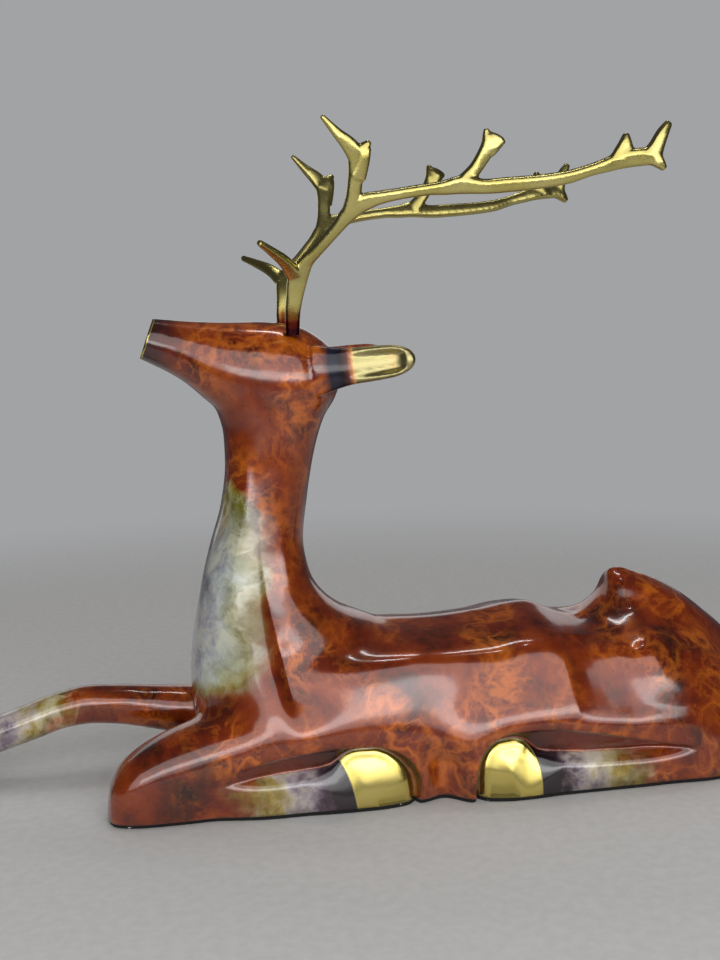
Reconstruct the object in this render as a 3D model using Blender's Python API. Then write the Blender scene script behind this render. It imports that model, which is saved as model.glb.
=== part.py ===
"""Reclining stag in patinated cast copper: body, two antlers and a black base pad.

Everything free-form is written in millimetres of the 380 mm tall casting and multiplied
by MM, so HEIGHT drives the whole animal. The pad, the joints and the gaps keep real sizes.
The stag faces -X, its left side is -Y, and the table is z = 0. The body is built up like
clay: lofted lumps are fused, softened, and then creases and folded legs are worked in.
"""

import math

import bmesh
import bpy
import numpy as np
from mathutils import Vector

for old in list(bpy.data.objects):
    bpy.data.objects.remove(old, do_unlink=True)

# Overall size
HEIGHT = 0.380  # table to the tip of the second tines
MM = HEIGHT / 380.0  # one millimetre of the 380 mm casting

# Real sizes, not scaled with the animal
PAD_THICK = 0.0025  # black felt sheet glued under the belly
PAD_INSET = 0.0008  # the sheet stays this far inside the underside
GAP = 0.0003  # between touching pieces
SEAT_DEPTH = 0.0035  # how deep an antler root sits in the crown
LIP = 0.0016  # width of the step at the rim of a folded leg

# Fineness
CLAY = 2.6 * MM  # grid of the rough clay form
SKIN = 1.6 * MM  # grid of the finished skin
ANTLER_SKIN = 0.9 * MM
BODY_TRIANGLES = 7200
ANTLER_TRIANGLES = 1150
PAD_TRIANGLES = 260

BELOW = -14.0  # every form that is cut flat underneath starts this low
NOSE_TOP = (-156.0, 279.5)  # the flat end of the muzzle, top and bottom edge
NOSE_BOTTOM = (-164.6, 256.6)

# Torso: x, half width low, half width middle, shoulder half width, shoulder height, back
TORSO = (
    (-118, 46, 48, 38, 74, 84),
    (-100, 52, 55, 46, 80, 90),
    (-60, 55, 59, 50, 83, 95.4),
    (-28, 53, 58.5, 49, 84, 95.4),
    (0, 51.5, 58, 49, 82, 94.8),
    (30, 54, 59.5, 49.5, 83, 96.6),
    (50, 56, 60.5, 51, 86, 99.6),
    (62, 57.5, 61, 51, 86, 100.6),
    (69, 60, 62, 50.5, 84, 98.4),
    (77, 64.5, 63.5, 51, 81.5, 94.4),
    (87, 67.5, 65, 53.5, 81, 90.6),
    (100, 68.5, 66, 54, 80.5, 88),
    (115, 68.5, 66, 50, 80, 86),
    (132, 67, 61, 36, 82, 86),
)

# Rump with the upturned tail: x, height, half width at 18, 40, 67 and 82 % of the height
RUMP = (
    (97, 89.5, 55, 56, 52, 40),
    (101, 92.5, 62, 62, 57, 44),
    (105, 96.5, 66, 65, 58.5, 42),
    (109, 101.8, 68, 66.5, 58.5, 36),
    (113, 108.8, 68, 67, 57.5, 25),
    (116, 117.2, 68, 67, 55, 18),
    (122, 117.6, 68, 67, 54.5, 20),
    (132, 115.2, 68, 66, 53.5, 24),
    (143, 111, 68, 65, 52.5, 28),
    (155, 104.8, 67.5, 62.5, 50.5, 31),
    (166.5, 97.2, 65.5, 59.5, 47, 31),
    (178, 87.8, 61.5, 55, 43, 29),
    (191.5, 76, 54.5, 47.5, 36.5, 25),
    (205, 58.5, 43, 36, 26, 19),
    (215, 40, 30, 25, 18, 13),
    (221, 20, 15, 12.5, 9, 6.5),
    (223, 6, 5, 4, 3, 2),
)

# Neck and chest: height, front, back, half width
NECK = (
    (-14, -131, -62, 45),
    (20, -136, -62, 46.5),
    (40, -140.3, -60, 48),
    (57, -144.6, -58, 48.5),
    (70, -145, -52, 47.5),
    (81, -144.2, -44, 45.5),
    (90, -143, -32, 43.5),
    (97, -142, -33, 41.8),
    (101, -141.2, -45, 40.6),
    (105, -140.4, -53, 39.6),
    (111, -139, -60.5, 38.2),
    (118, -137.4, -66.8, 36.4),
    (128, -135.2, -72, 34.2),
    (148, -129.6, -75.3, 30.4),
    (171, -122.4, -72.4, 27.6),
    (196, -119.0, -67.8, 26.4),
    (212, -119.2, -63.4, 27),
    (226, -122.6, -58, 29),
    (238, -125, -55, 30.5),
    (250, -124, -54, 31),
    (260, -118, -56, 28),
    (266, -108, -64, 22),
)

# Head: x, half width, underside, crown
HEAD = (
    (-172, 11.8, 260.2, 281),
    (-160, 12.9, 254.2, 280),
    (-150, 15.2, 249, 278.8),
    (-140, 18.4, 242.5, 277.7),
    (-125, 23.8, 229, 276.6),
    (-112, 28.4, 221, 276.1),
    (-98, 31.6, 215, 276),
    (-84, 32.8, 213, 275),
    (-72, 30.8, 215, 271.9),
    (-62, 25.2, 220, 266),
    (-54, 16, 229, 258.8),
    (-49.5, 6, 240, 251),
)

# Folded left foreleg: x, middle, half width, height
FORELEG = (
    (-195.6, -37, 5, 9),
    (-194, -37, 11.5, 18),
    (-190, -37, 16, 27.6),
    (-182, -37, 19.6, 35.8),
    (-172, -36.5, 21.8, 41.8),
    (-160, -36, 23, 47.2),
    (-148, -35, 24.2, 51),
    (-135, -34, 25, 55),
    (-118, -33, 26, 58.6),
    (-98, -31, 28, 61),
    (-82, -28, 28, 58),
)

# Stretched right foreleg: x, half width, underside, top (its middle line is STRETCH_Y)
STRETCH_Y = 35.0
STRETCHED = (
    (-100, 18, 10, 50),
    (-125, 17, 15, 51),
    (-145, 15.6, 20.4, 52),
    (-168, 13.8, 26.6, 54),
    (-190, 12.4, 31.6, 56.2),
    (-208, 11.8, 33.4, 57.2),
    (-222, 11.8, 32, 55),
    (-236, 12, 27.6, 51.2),
    (-250, 12.3, 23.4, 46.2),
    (-264, 12.9, 19, 41.8),
    (-277, 13.8, 11, 38),
    (-287, 14.8, 1, 35),
    (-297, 15.4, -9, 30.6),
    (-308, 15.6, -14, 24.6),
    (-318, 14.8, -14, 17.6),
    (-326, 12.4, -14, 10.6),
    (-330.6, 7.4, -14, 4),
)

# Ears: share of the length, half height, half thickness
EAR_ROOT = (-68, 25.5, 248.6)
EAR_TIP = (-12.9, 41.5, 252.8)
EAR = (
    (0.0, 10.6, 5.2),
    (0.18, 10.4, 5.4),
    (0.36, 10.1, 5.0),
    (0.6, 9.9, 4.6),
    (0.78, 9.1, 4.1),
    (0.9, 7.2, 3.4),
    (0.97, 4.6, 2.4),
    (1.0, 1.6, 1.1),
)
EAR_HOLLOW = 0.95

# The rim over a folded leg and the leg inside it, seen from the side
FORE_RIM = (
    (-128, 26.5), (-103, 32), (-87, 34.8), (-72, 37.2), (-54, 38.8), (-44, 37.8),
    (-38, 35.6), (-31.5, 31.7), (-26, 26.7), (-21.6, 21), (-19.8, 14), (-20, -20), (-132, -20),
)
FORE_LIMB = (
    (-132, 25), (-103, 28.6), (-87, 30.4), (-72, 33.4), (-62, 35.2), (-54, 35.6), (-44.5, 34.2),
    (-38, 31.9), (-31.5, 27.2), (-26.4, 21.6), (-23.2, 15.2), (-22.2, 8), (-22.2, -20), (-135, -20),
)
HIND_RIM = (
    (11.4, -20), (11, 14), (12.6, 22), (18, 30.2), (26, 36), (36, 38.9), (48, 40.4), (63, 39.5),
    (75, 37.4), (87, 34.4), (99, 31.4), (118, 28.2), (137, 24.6), (150, 21), (156, -20),
)
HIND_LIMB = (
    (13.4, -20), (13.4, 12), (14.2, 19.6), (16.8, 24.6), (23.8, 32.2), (33, 34.9), (41, 33.6),
    (50, 30.4), (68, 26), (96.7, 24.3), (128, 22.8), (150, 21.6), (160, -20),
)
FORE_OUT, HIND_OUT = 60.8, 67.4  # how far a folded leg stands out from the middle
FORE_LIP, HIND_LIP = 62.2, 68.8
SHOULDER_GROOVE = ((-99.5, 214), (-101.4, 180), (-102.5, 152), (-102.6, 104), (-93, 84), (-89, 68), (-85.5, 54))

# Antler skeleton of the left side: x, distance from the middle, height, half width
BASE = ((-79.4, 23.8, 264, 3.3), (-79.1, 24.2, 270, 3.5), (-78.9, 25.2, 278.6, 3.8),
        (-77.8, 27.4, 288, 4.3), (-76.2, 31, 297.6, 5.2), (-72.5, 36, 306, 3.9))
BEAM = ((-76.2, 31, 297.6, 5.0), (-72.5, 36, 306, 3.8), (-66.3, 41, 312.7, 2.8),
        (-56, 49, 324, 3.0), (-49.7, 53.6, 331.2, 4.0), (-41.4, 56.6, 336.6, 4.2),
        (-33.4, 58, 338.6, 3.1), (-22, 59, 340.5, 2.6), (-8, 60, 342.3, 2.7), (1, 61, 343, 3.5),
        (9.4, 62, 344.2, 4.4), (23, 64, 343, 3.5), (33.4, 65, 343.6, 3.6), (51, 67, 344.8, 3.3),
        (66.4, 69, 346.8, 3.1), (77.6, 71, 349.9, 2.7), (86.6, 72, 352.4, 3.3),
        (95.4, 73, 355, 4.2), (104.6, 75, 356.2, 4.4), (112.4, 76, 356.6, 4.2))
BROW = ((-77.2, 32, 299.6, 4.4), (-84.4, 42, 307.2, 2.9), (-91.8, 52, 311.8, 2.0), (-99.4, 62, 316, 1.2))
SECOND = ((-49.7, 53.6, 331.2, 4.0), (-47.8, 57, 339.8, 3.7), (-47, 60, 349, 3.6),
          (-46.2, 63, 357.2, 4.6), (-49.4, 65, 363, 4.1), (-57.6, 66.6, 371, 2.2), (-65.2, 68, 378.9, 0.9))
SECOND_HEEL = ((-47, 62.6, 357, 4.2), (-43.2, 64.6, 363, 2.6), (-39.6, 66, 366.2, 1.0))
THIRD = ((10.6, 62, 344.6, 4.3), (18.2, 63.2, 353.6, 3.1), (22.8, 65, 361, 3.6), (26.6, 66, 367.6, 4.8))
THIRD_TOE = ((23.8, 65, 361.6, 3.4), (22.8, 66, 368, 1.9), (22.6, 67, 372.6, 1.0))
THIRD_HEEL = ((24.4, 65, 361.2, 3.4), (29.6, 66, 365, 2.1), (32.6, 67, 366.6, 1.0))
SPIKE = ((96, 73.2, 355, 4.0), (96.8, 74, 362.6, 2.7), (97.2, 74.6, 368.8, 1.1))
END = ((111.8, 76, 356.4, 4.2), (114, 77, 363, 3.3), (116.4, 77.6, 368.2, 2.8), (120, 78, 373.9, 1.5))
END_HEEL = ((112, 76, 356, 4.2), (115.6, 76.2, 352.6, 2.6), (118.4, 76.4, 349.6, 1.2))
ANTLER_BARS = (BASE, BEAM, BROW, SECOND, SECOND_HEEL, THIRD, THIRD_TOE, THIRD_HEEL, SPIKE, END, END_HEEL)
ANTLER_HALF_THICK = 3.0
ANTLER_LEAN = ((260, 0.0), (288, 0.35), (300, 0.95), (312, 0.8), (330, 0.38), (380, 0.3))  # height, outward lean
ANTLER_FILL = 0.35  # what the softening takes off again
SOCKET_AT = (-79.35, 23.9)  # middle of the antler root in the crown
SOCKET_TOP = 270.5  # where the root meets the skin of the crown


def smooth_table(table, key, fineness):
    """Rows of the table resampled every `fineness` along column `key` by shape-keeping cubics."""
    rows = np.array(sorted(table, key=lambda row: row[key]), float)
    t = rows[:, key]
    at = np.linspace(t[0], t[-1], max(3, int(round((t[-1] - t[0]) / fineness)) + 1))
    step = np.diff(t)[:, None]
    slope = np.diff(rows, axis=0) / step
    inner = np.zeros_like(rows)
    a, b = slope[:-1], slope[1:]
    same = a * b > 0
    inner[1:-1][same] = (2 * a * b / np.where(same, a + b, 1))[same]
    inner[0], inner[-1] = slope[0], slope[-1]
    i = np.clip(np.searchsorted(t, at, side="right") - 1, 0, len(t) - 2)
    h = step[i]
    u = ((at - t[i]) / (t[i + 1] - t[i]))[:, None]
    return (
        (2 * u**3 - 3 * u**2 + 1) * rows[i]
        + (u**3 - 2 * u**2 + u) * h * inner[i]
        + (3 * u**2 - 2 * u**3) * rows[i + 1]
        + (u**3 - u**2) * h * inner[i + 1]
    )


def rounded(count, power):
    """Unit superellipse: two columns, both from -1 to 1."""
    a = np.arange(count) * 2 * math.pi / count
    c, s = np.cos(a), np.sin(a)
    return np.sign(c) * np.abs(c) ** (2 / power), np.sign(s) * np.abs(s) ** (2 / power)


def profile_ring(points, count):
    """A closed left-right symmetrical outline from a half profile of (half width, height)."""
    points = np.array(points, float)
    run = np.r_[0, np.cumsum(np.hypot(*np.diff(points, axis=0).T))]
    half = smooth_table(np.c_[run, points], 0, run[-1] / count)[:, 1:]
    other = half[-2:0:-1] * (-1, 1)
    return np.vstack([half, other])


def skin(name, rings):
    """A closed mesh over the rings, each with the same number of points."""
    rings = np.array(rings, float)
    count, around = rings.shape[:2]
    points = rings.reshape(-1, 3).tolist()
    points += [rings[0].mean(0).tolist(), rings[-1].mean(0).tolist()]
    faces = []
    for i in range(count - 1):
        for j in range(around):
            k = (j + 1) % around
            faces.append((i * around + j, i * around + k, (i + 1) * around + k, (i + 1) * around + j))
    for j in range(around):
        k = (j + 1) % around
        faces.append((count * around, k, j))
        faces.append((count * around + 1, (count - 1) * around + j, (count - 1) * around + k))
    mesh = bpy.data.meshes.new(name)
    mesh.from_pydata([[c * MM for c in p] for p in points], [], faces)
    obj = bpy.data.objects.new(name, mesh)
    bpy.context.scene.collection.objects.link(obj)
    face_outward(obj)
    return obj


def face_outward(obj):
    work = bmesh.new()
    work.from_mesh(obj.data)
    bmesh.ops.recalc_face_normals(work, faces=work.faces)
    if work.calc_volume(signed=True) < 0:
        bmesh.ops.reverse_faces(work, faces=work.faces)
    work.to_mesh(obj.data)
    work.free()


def join(name, objects):
    work = bmesh.new()
    for obj in objects:
        work.from_mesh(obj.data)
        bpy.data.objects.remove(obj, do_unlink=True)
    mesh = bpy.data.meshes.new(name)
    work.to_mesh(mesh)
    work.free()
    obj = bpy.data.objects.new(name, mesh)
    bpy.context.scene.collection.objects.link(obj)
    return obj


def bake(obj):
    """Puts the result of the modifiers into the mesh."""
    bpy.context.view_layer.update()
    graph = bpy.context.evaluated_depsgraph_get()
    mesh = bpy.data.meshes.new_from_object(obj.evaluated_get(graph))
    obj.modifiers.clear()
    obj.data = mesh


def remesh(obj, grid, passes, factor=0.5):
    one = obj.modifiers.new("skin", "REMESH")
    one.mode = "VOXEL"
    one.voxel_size = grid
    two = obj.modifiers.new("soften", "SMOOTH")
    two.factor = factor
    two.iterations = passes
    bake(obj)


def melt(obj, places, passes):
    """Extra smoothing in balls: x, distance from the middle, height, radius."""
    p = get_points(obj)
    weight = np.zeros(len(p))
    for x, y, z, r in places:
        gap = np.sqrt((p[:, 0] - x) ** 2 + (np.abs(p[:, 1]) - y) ** 2 + (p[:, 2] - z) ** 2)
        weight = np.maximum(weight, ease((r - gap) / (0.6 * r)))
    group = obj.vertex_groups.new(name="melt")
    for level in range(1, 11):
        chosen = np.nonzero(np.round(weight * 10) == level)[0]
        if len(chosen):
            group.add(chosen.tolist(), level / 10, "REPLACE")
    one = obj.modifiers.new("melt", "SMOOTH")
    one.factor = 0.5
    one.iterations = passes
    one.vertex_group = "melt"
    bake(obj)
    obj.vertex_groups.clear()


def get_points(obj):
    flat = np.empty(len(obj.data.vertices) * 3)
    obj.data.vertices.foreach_get("co", flat)
    return flat.reshape(-1, 3) / MM


def set_points(obj, points):
    obj.data.vertices.foreach_set("co", (points * MM).reshape(-1))
    obj.data.update()


def along_polyline(points, line):
    """Distance of each (x, z) from the line, and the share of the line at the nearest place."""
    line = np.array(line, float)
    run = np.r_[0, np.cumsum(np.hypot(*np.diff(line, axis=0).T))]
    best = np.full(len(points), 1e9)
    share = np.zeros(len(points))
    for i, (a, b) in enumerate(zip(line[:-1], line[1:])):
        d = b - a
        t = np.clip(((points - a) @ d) / (d @ d), 0, 1)
        gap = np.hypot(*(points - a - t[:, None] * d).T)
        near = gap < best
        best[near] = gap[near]
        share[near] = (run[i] + t[near] * (run[i + 1] - run[i])) / run[-1]
    return best, share


def inside_depth(points, outline):
    """How far each (x, z) is inside the closed outline; negative outside."""
    outline = np.array(outline, float)
    closed = np.vstack([outline, outline[:1]])
    gap, _ = along_polyline(points, closed)
    x, z = points.T
    odd = np.zeros(len(points), bool)
    for (ax, az), (bx, bz) in zip(closed[:-1], closed[1:]):
        crosses = (az > z) != (bz > z)
        safe = bz - az if bz != az else 1.0
        odd ^= crosses & (x < (bx - ax) * (z - az) / safe + ax)
    return np.where(odd, gap, -gap)


def ease(t):
    t = np.clip(t, 0, 1)
    return t * t * (3 - 2 * t)


def fold_leg(points, side, rim, limb, out, lip, recess, flare, fade):
    """Cuts the recess under the rim and lets the folded leg and hoof swell out of it.

    The flank runs out to the rim over `flare`, and much more shortly beside the hoof. `fade`
    holds the two x between which the leg runs out into the body."""
    p = points
    flat = np.c_[p[:, 0], p[:, 2]]
    near = side * p[:, 1] > 36
    flat = flat[near]
    y = side * p[near, 1]
    deep = inside_depth(flat, rim)
    within = inside_depth(flat, limb)
    full = ease((y - 38) / 8) * ease((flat[:, 0] - fade[0]) / (fade[1] - fade[0]))
    spread = 11 + (flare - 11) * ease((flat[:, 1] - 22) / 16)
    edge = lip - 4.0 * (1 - ease((flat[:, 1] + 4) / 22))
    y = y + (edge - y) * np.exp(-((np.minimum(deep, 0) / spread) ** 2)) * full
    swell = np.clip(within / 10.0, 0, 1)
    down = np.clip(deep, 0, 99) / (np.clip(deep, 0, 99) + np.clip(-within, 0, 99) + 0.01)
    leg = np.where(
        within > 0, out - recess + recess * np.sqrt(1 - (1 - swell) ** 2), out - recess * (0.4 + 0.6 * down)
    )
    y = y + (leg - y) * ease(deep / (LIP / MM)) * full
    p[near, 1] = side * y


def carve_body(obj):
    """Grooves, creases and folded legs, worked into the softened clay."""
    p = get_points(obj)
    flat = np.c_[p[:, 0], p[:, 2]]
    out = np.abs(p[:, 1])
    side = np.sign(p[:, 1])
    # The groove behind the shoulder, and the lobe that swells in front of it
    x, z = p[:, 0], p[:, 2]
    line = np.array(SHOULDER_GROOVE[::-1], float)
    away = x - np.interp(z, line[:, 1], line[:, 0])
    deep = np.interp(z, (54, 60, 72, 88, 104, 150, 190, 214), (0, 4.4, 6.0, 5.0, 2.6, 1.7, 1.4, 0))
    reach = np.where(away < 0, -away / np.where(z < 96, 6.2, 4.4), away / np.interp(z, (80, 120), (15, 5)))
    dig = deep * np.exp(-(reach**1.5)) * ease((out - 14) / 12)
    lobe, _ = along_polyline(flat, ((-104, 92), (-103, 64)))
    swell = 3.4 * np.exp(-((lobe / 12) ** 2)) * ease((out - 24) / 12)
    # The step where the flank stands proud of the haunch, which then swells out again slowly
    crease = np.interp(z, (40, 46, 56, 71, 84), (75, 75, 74.5, 73, 71))
    along = x - crease
    tuck = np.interp(along, (-4.5, -2.5, 0, 4, 15, 22, 38, 54, 62), (0, 1.0, 3.2, 4.3, 7.0, 6.6, 3.2, 0.6, 0))
    tuck = tuck * ease((z - 34) / 16) * ease((96 - z) / 16) * ease((out - 36) / 10)
    p[:, 1] = side * (out + swell - dig - tuck)
    fold_leg(p, -1, FORE_RIM, FORE_LIMB, FORE_OUT, FORE_LIP, 4.0, 21, (-140, -100))
    for s in (-1, 1):
        fold_leg(p, s, HIND_RIM, HIND_LIMB, HIND_OUT, HIND_LIP, 7.0, 21, (156, 122))
    set_points(obj, p)


def slice_off(obj, point, normal, above=-99):
    """Cuts away what is on the side the normal points to, and closes the cut flat."""
    work = bmesh.new()
    work.from_mesh(obj.data)
    faces = [f for f in work.faces if all(v.co.z > above * MM for v in f.verts)]
    edges = {e for f in faces for e in f.edges}
    verts = {v for f in faces for v in f.verts}
    bmesh.ops.bisect_plane(
        work, geom=list(verts) + list(edges) + faces, dist=1e-7,
        plane_co=[c * MM for c in point], plane_no=normal, clear_outer=True,
    )
    rims = [e for e in work.edges if e.is_boundary]
    bmesh.ops.triangulate(work, faces=bmesh.ops.edgeloop_fill(work, edges=rims)["faces"])
    work.to_mesh(obj.data)
    work.free()


def thin_out(obj, triangles):
    work = bmesh.new()
    work.from_mesh(obj.data)
    bmesh.ops.triangulate(work, faces=work.faces)
    count = len(work.faces)
    work.to_mesh(obj.data)
    work.free()
    one = obj.modifiers.new("thin", "DECIMATE")
    one.ratio = min(1.0, triangles / count)
    one.use_collapse_triangulate = True
    bake(obj)


def torso():
    rings = []
    for x, low, mid, sh, zs, top in smooth_table(TORSO, 0, 3):
        half = [(0, BELOW), (low, BELOW), (low, 16), (mid, 42), (mid - 2.6, zs * 0.76), (sh, zs),
                (sh * 0.62, zs + (top - zs) * 0.55), (0, top)]
        rings.append([(x, y, z) for y, z in profile_ring(half, 40)])
    return skin("torso", rings)


def rump():
    rings = []
    for x, top, a, b, c, d in smooth_table(RUMP, 0, 2.5):
        half = [(0, BELOW), (a, BELOW), (a, 0.18 * top), (b, 0.40 * top), (c, 0.67 * top),
                (d, 0.82 * top), (d * 0.62, 0.94 * top), (0, top)]
        rings.append([(x, y, z) for y, z in profile_ring(half, 40)])
    return skin("rump", rings)


def neck():
    c, s = rounded(56, 2.25)
    return skin("neck", [
        np.c_[(front + back) / 2 + c * (back - front) / 2, s * w, np.full(56, z)]
        for z, front, back, w in smooth_table(NECK, 0, 3)
    ])


def head():
    c, s = rounded(48, 2.35)
    return skin("head", [
        np.c_[np.full(48, x), c * w, (low + top) / 2 + s * (top - low) / 2]
        for x, w, low, top in smooth_table(HEAD, 0, 2.5)
    ])


def folded_foreleg():
    c, s = rounded(44, 2.5)
    rings = []
    for x, y, w, top in smooth_table(FORELEG, 0, 2.5):
        middle = top * 0.45
        z = np.where(s > 0, middle + s * (top - middle), middle + s * (middle - BELOW))
        rings.append(np.c_[np.full(44, x), y + c * w, z])
    return skin("folded_foreleg", rings)


def stretched_foreleg():
    c, s = rounded(40, 2.4)
    return skin("stretched_foreleg", [
        np.c_[np.full(40, x), STRETCH_Y + c * w, (low + top) / 2 + s * (top - low) / 2]
        for x, w, low, top in smooth_table(STRETCHED, 0, 2.5)
    ])


def ear(side):
    root, tip = np.array(EAR_ROOT, float), np.array(EAR_TIP, float)
    run = tip - root
    outward = np.cross(run, (0, 0, 1.0))
    outward /= -np.linalg.norm(outward)
    up = np.cross(run, outward)
    up /= np.linalg.norm(up)
    up *= np.sign(up[2])
    c, s = rounded(28, 2.2)
    bowl = np.where(c > 0, c * (1 - EAR_HOLLOW * c * c), c)
    rings = []
    for share, high, thick in smooth_table(EAR, 0, 0.04):
        ring = root + share * run + np.outer(bowl * thick, outward) + np.outer(s * high, up)
        rings.append(ring * (1, side, 1))
    return skin("ear", rings)


def bar(nodes, side):
    """A bar of the antler: flat faces, rounded edges, narrowing to a point."""
    nodes = np.array(nodes, float)
    run = np.r_[0, np.cumsum(np.linalg.norm(np.diff(nodes[:, :3], axis=0), axis=1))]
    fine = smooth_table(np.c_[run, nodes], 0, 1.6)[:, 1:]
    middle = fine[:, :3]
    ahead = np.gradient(middle, axis=0)
    ahead /= np.linalg.norm(ahead, axis=1)[:, None]
    c, s = rounded(20, 2.7)
    rings = []
    for m, t, w in zip(middle, ahead, fine[:, 3]):
        flat = np.array((0, 1.0, -np.interp(m[2], *np.array(ANTLER_LEAN).T)))
        flat = flat - (flat @ t) * t
        flat /= np.linalg.norm(flat)
        across = np.cross(t, flat)
        thick = min(ANTLER_HALF_THICK, 0.7 + 0.85 * w)
        rings.append((m + np.outer(c * (w + ANTLER_FILL), across) + np.outer(s * thick, flat)) * (1, side, 1))
    return skin("bar", rings)


def antler(name, side):
    obj = join(name, [bar(nodes, side) for nodes in ANTLER_BARS])
    remesh(obj, ANTLER_SKIN, 2)
    floor = SOCKET_TOP - SEAT_DEPTH / MM + GAP / MM
    slice_off(obj, (0, 0, floor), (0, 0, -1))
    thin_out(obj, ANTLER_TRIANGLES)
    return obj


def socket(side):
    """The hollow in the crown that takes an antler root."""
    c, s = rounded(28, 2.7)
    wide = 3.95 + GAP / MM
    thick = ANTLER_HALF_THICK + 0.15 + GAP / MM
    x, y = SOCKET_AT
    rings = [
        np.c_[x + 0.045 * h + c * wide, side * (y + 0.06 * h + s * thick), np.full(28, SOCKET_TOP - SEAT_DEPTH / MM + h)]
        for h in (0.0, 6.0, 12.0)
    ]
    return skin("socket", rings)


def cut_with(obj, cutter):
    one = obj.modifiers.new("socket", "BOOLEAN")
    one.operation = "DIFFERENCE"
    one.solver = "EXACT"
    one.object = cutter
    bake(obj)
    bpy.data.objects.remove(cutter, do_unlink=True)


def paint(obj, name, colour, roughness, metallic):
    """One material for the piece, and smooth shading but for the sharp cuts."""
    surface = bpy.data.materials.new(name)
    surface.use_nodes = True
    shader = surface.node_tree.nodes["Principled BSDF"]
    shader.inputs["Base Color"].default_value = (*colour, 1)
    shader.inputs["Roughness"].default_value = roughness
    shader.inputs["Metallic"].default_value = metallic
    obj.data.materials.clear()
    obj.data.materials.append(surface)
    obj.data.shade_smooth()
    obj.data.set_sharp_from_angle(angle=math.radians(50))


def keep_largest(obj):
    """Drops every loose island but the one with the most faces."""
    work = bmesh.new()
    work.from_mesh(obj.data)
    left = set(work.verts)
    islands = []
    while left:
        seed = left.pop()
        island, stack = [seed], [seed]
        while stack:
            for edge in stack.pop().link_edges:
                for v in edge.verts:
                    if v in left:
                        left.remove(v)
                        island.append(v)
                        stack.append(v)
        islands.append(island)
    islands.sort(key=len)
    bmesh.ops.delete(work, geom=[v for i in islands[:-1] for v in i], context="VERTS")
    work.to_mesh(obj.data)
    work.free()


clay = join("body", [torso(), rump(), neck(), head(), folded_foreleg(), stretched_foreleg()])
remesh(clay, CLAY, 9)
melt(clay, ((-62, 32, 92, 40), (-38, 30, 92, 30), (100, 30, 84, 22), (-105, 38, 62, 20)), 70)
remesh(clay, SKIN, 0)
carve_body(clay)
body = join("body", [clay, ear(-1), ear(1)])
remesh(body, SKIN, 2)
keep_largest(body)
body.name = "body"

# The pad takes its outline from the lowest slice of the body
pad = bpy.data.objects.new("base_pad", body.data.copy())
bpy.context.scene.collection.objects.link(pad)
slice_off(pad, (0, 0, PAD_THICK / MM), (0, 0, 1))
slice_off(pad, (0, 0, 0), (0, 0, -1))
keep_largest(pad)
corners = get_points(pad)
middle = (corners.max(0) + corners.min(0)) / 2
reach = (corners.max(0) - corners.min(0)) / 2
corners[:, :2] = middle[:2] + (corners[:, :2] - middle[:2]) * (1 - PAD_INSET / MM / reach[:2])
set_points(pad, corners)
thin_out(pad, PAD_TRIANGLES)

under = (PAD_THICK + GAP) / MM
slice_off(body, (0, 0, under), (0, 0, -1))
drop = Vector((NOSE_TOP[0] - NOSE_BOTTOM[0], 0, NOSE_TOP[1] - NOSE_BOTTOM[1]))
slice_off(body, (NOSE_TOP[0], 0, NOSE_TOP[1]), (-drop.z, 0, drop.x), above=200)
thin_out(body, BODY_TRIANGLES)
# The stretched hoof has no pad, so it reaches down to the table
corners = get_points(body)
hoof = corners[:, 0] < -270
corners[hoof, 2] -= under * (1 - ease((corners[hoof, 2] - under) / 12))
set_points(body, corners)
for side in (-1, 1):
    cut_with(body, socket(side))

antler_left = antler("antler_left", -1)
antler_right = antler("antler_right", 1)

# The origin goes to the middle of the footprint, on the table
pieces = [body, pad, antler_left, antler_right]
every = np.vstack([get_points(piece) for piece in pieces])
shift = np.array([(every[:, 0].max() + every[:, 0].min()) / 2, 0, every[:, 2].min()])
for piece in pieces:
    set_points(piece, get_points(piece) - shift)
    face_outward(piece)
    piece.data.name = piece.name

paint(body, "lacquered copper patina", (0.30, 0.065, 0.018), 0.16, 0.55)
paint(pad, "black felt", (0.012, 0.012, 0.012), 0.95, 0.0)
for piece in (antler_left, antler_right):
    paint(piece, "satin brass", (0.62, 0.50, 0.20), 0.28, 1.0)
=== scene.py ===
"""Looks of the reclining stag: lacquered copper patina with polished brass hooves, satin brass antlers.

Everything free-form is written in millimetres of the 380 mm tall casting, in the frame the animal
was measured in, and moved by ORIGIN_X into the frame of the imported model. The stag faces -X, its
left side is -Y. Cameras, lights and pattern sizes are real sizes.
"""

import math

import bmesh
import bpy
import numpy as np
from mathutils import Matrix, Vector


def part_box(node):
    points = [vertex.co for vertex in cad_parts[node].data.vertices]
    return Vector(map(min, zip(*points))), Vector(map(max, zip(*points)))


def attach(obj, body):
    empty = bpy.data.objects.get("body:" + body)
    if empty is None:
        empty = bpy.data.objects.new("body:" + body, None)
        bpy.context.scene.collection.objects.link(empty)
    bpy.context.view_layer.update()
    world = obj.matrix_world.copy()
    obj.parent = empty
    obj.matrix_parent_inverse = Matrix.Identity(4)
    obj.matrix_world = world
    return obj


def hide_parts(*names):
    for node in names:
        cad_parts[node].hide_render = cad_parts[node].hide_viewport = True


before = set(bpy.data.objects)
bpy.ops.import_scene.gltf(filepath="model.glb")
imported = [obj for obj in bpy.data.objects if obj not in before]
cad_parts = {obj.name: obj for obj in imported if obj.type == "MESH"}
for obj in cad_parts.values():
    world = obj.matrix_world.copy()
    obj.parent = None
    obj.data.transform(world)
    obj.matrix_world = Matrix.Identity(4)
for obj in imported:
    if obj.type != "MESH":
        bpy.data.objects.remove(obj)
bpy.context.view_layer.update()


MM = 0.001
ORIGIN_X = 53.8  # the measured x of the middle of the footprint, turned round

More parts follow.
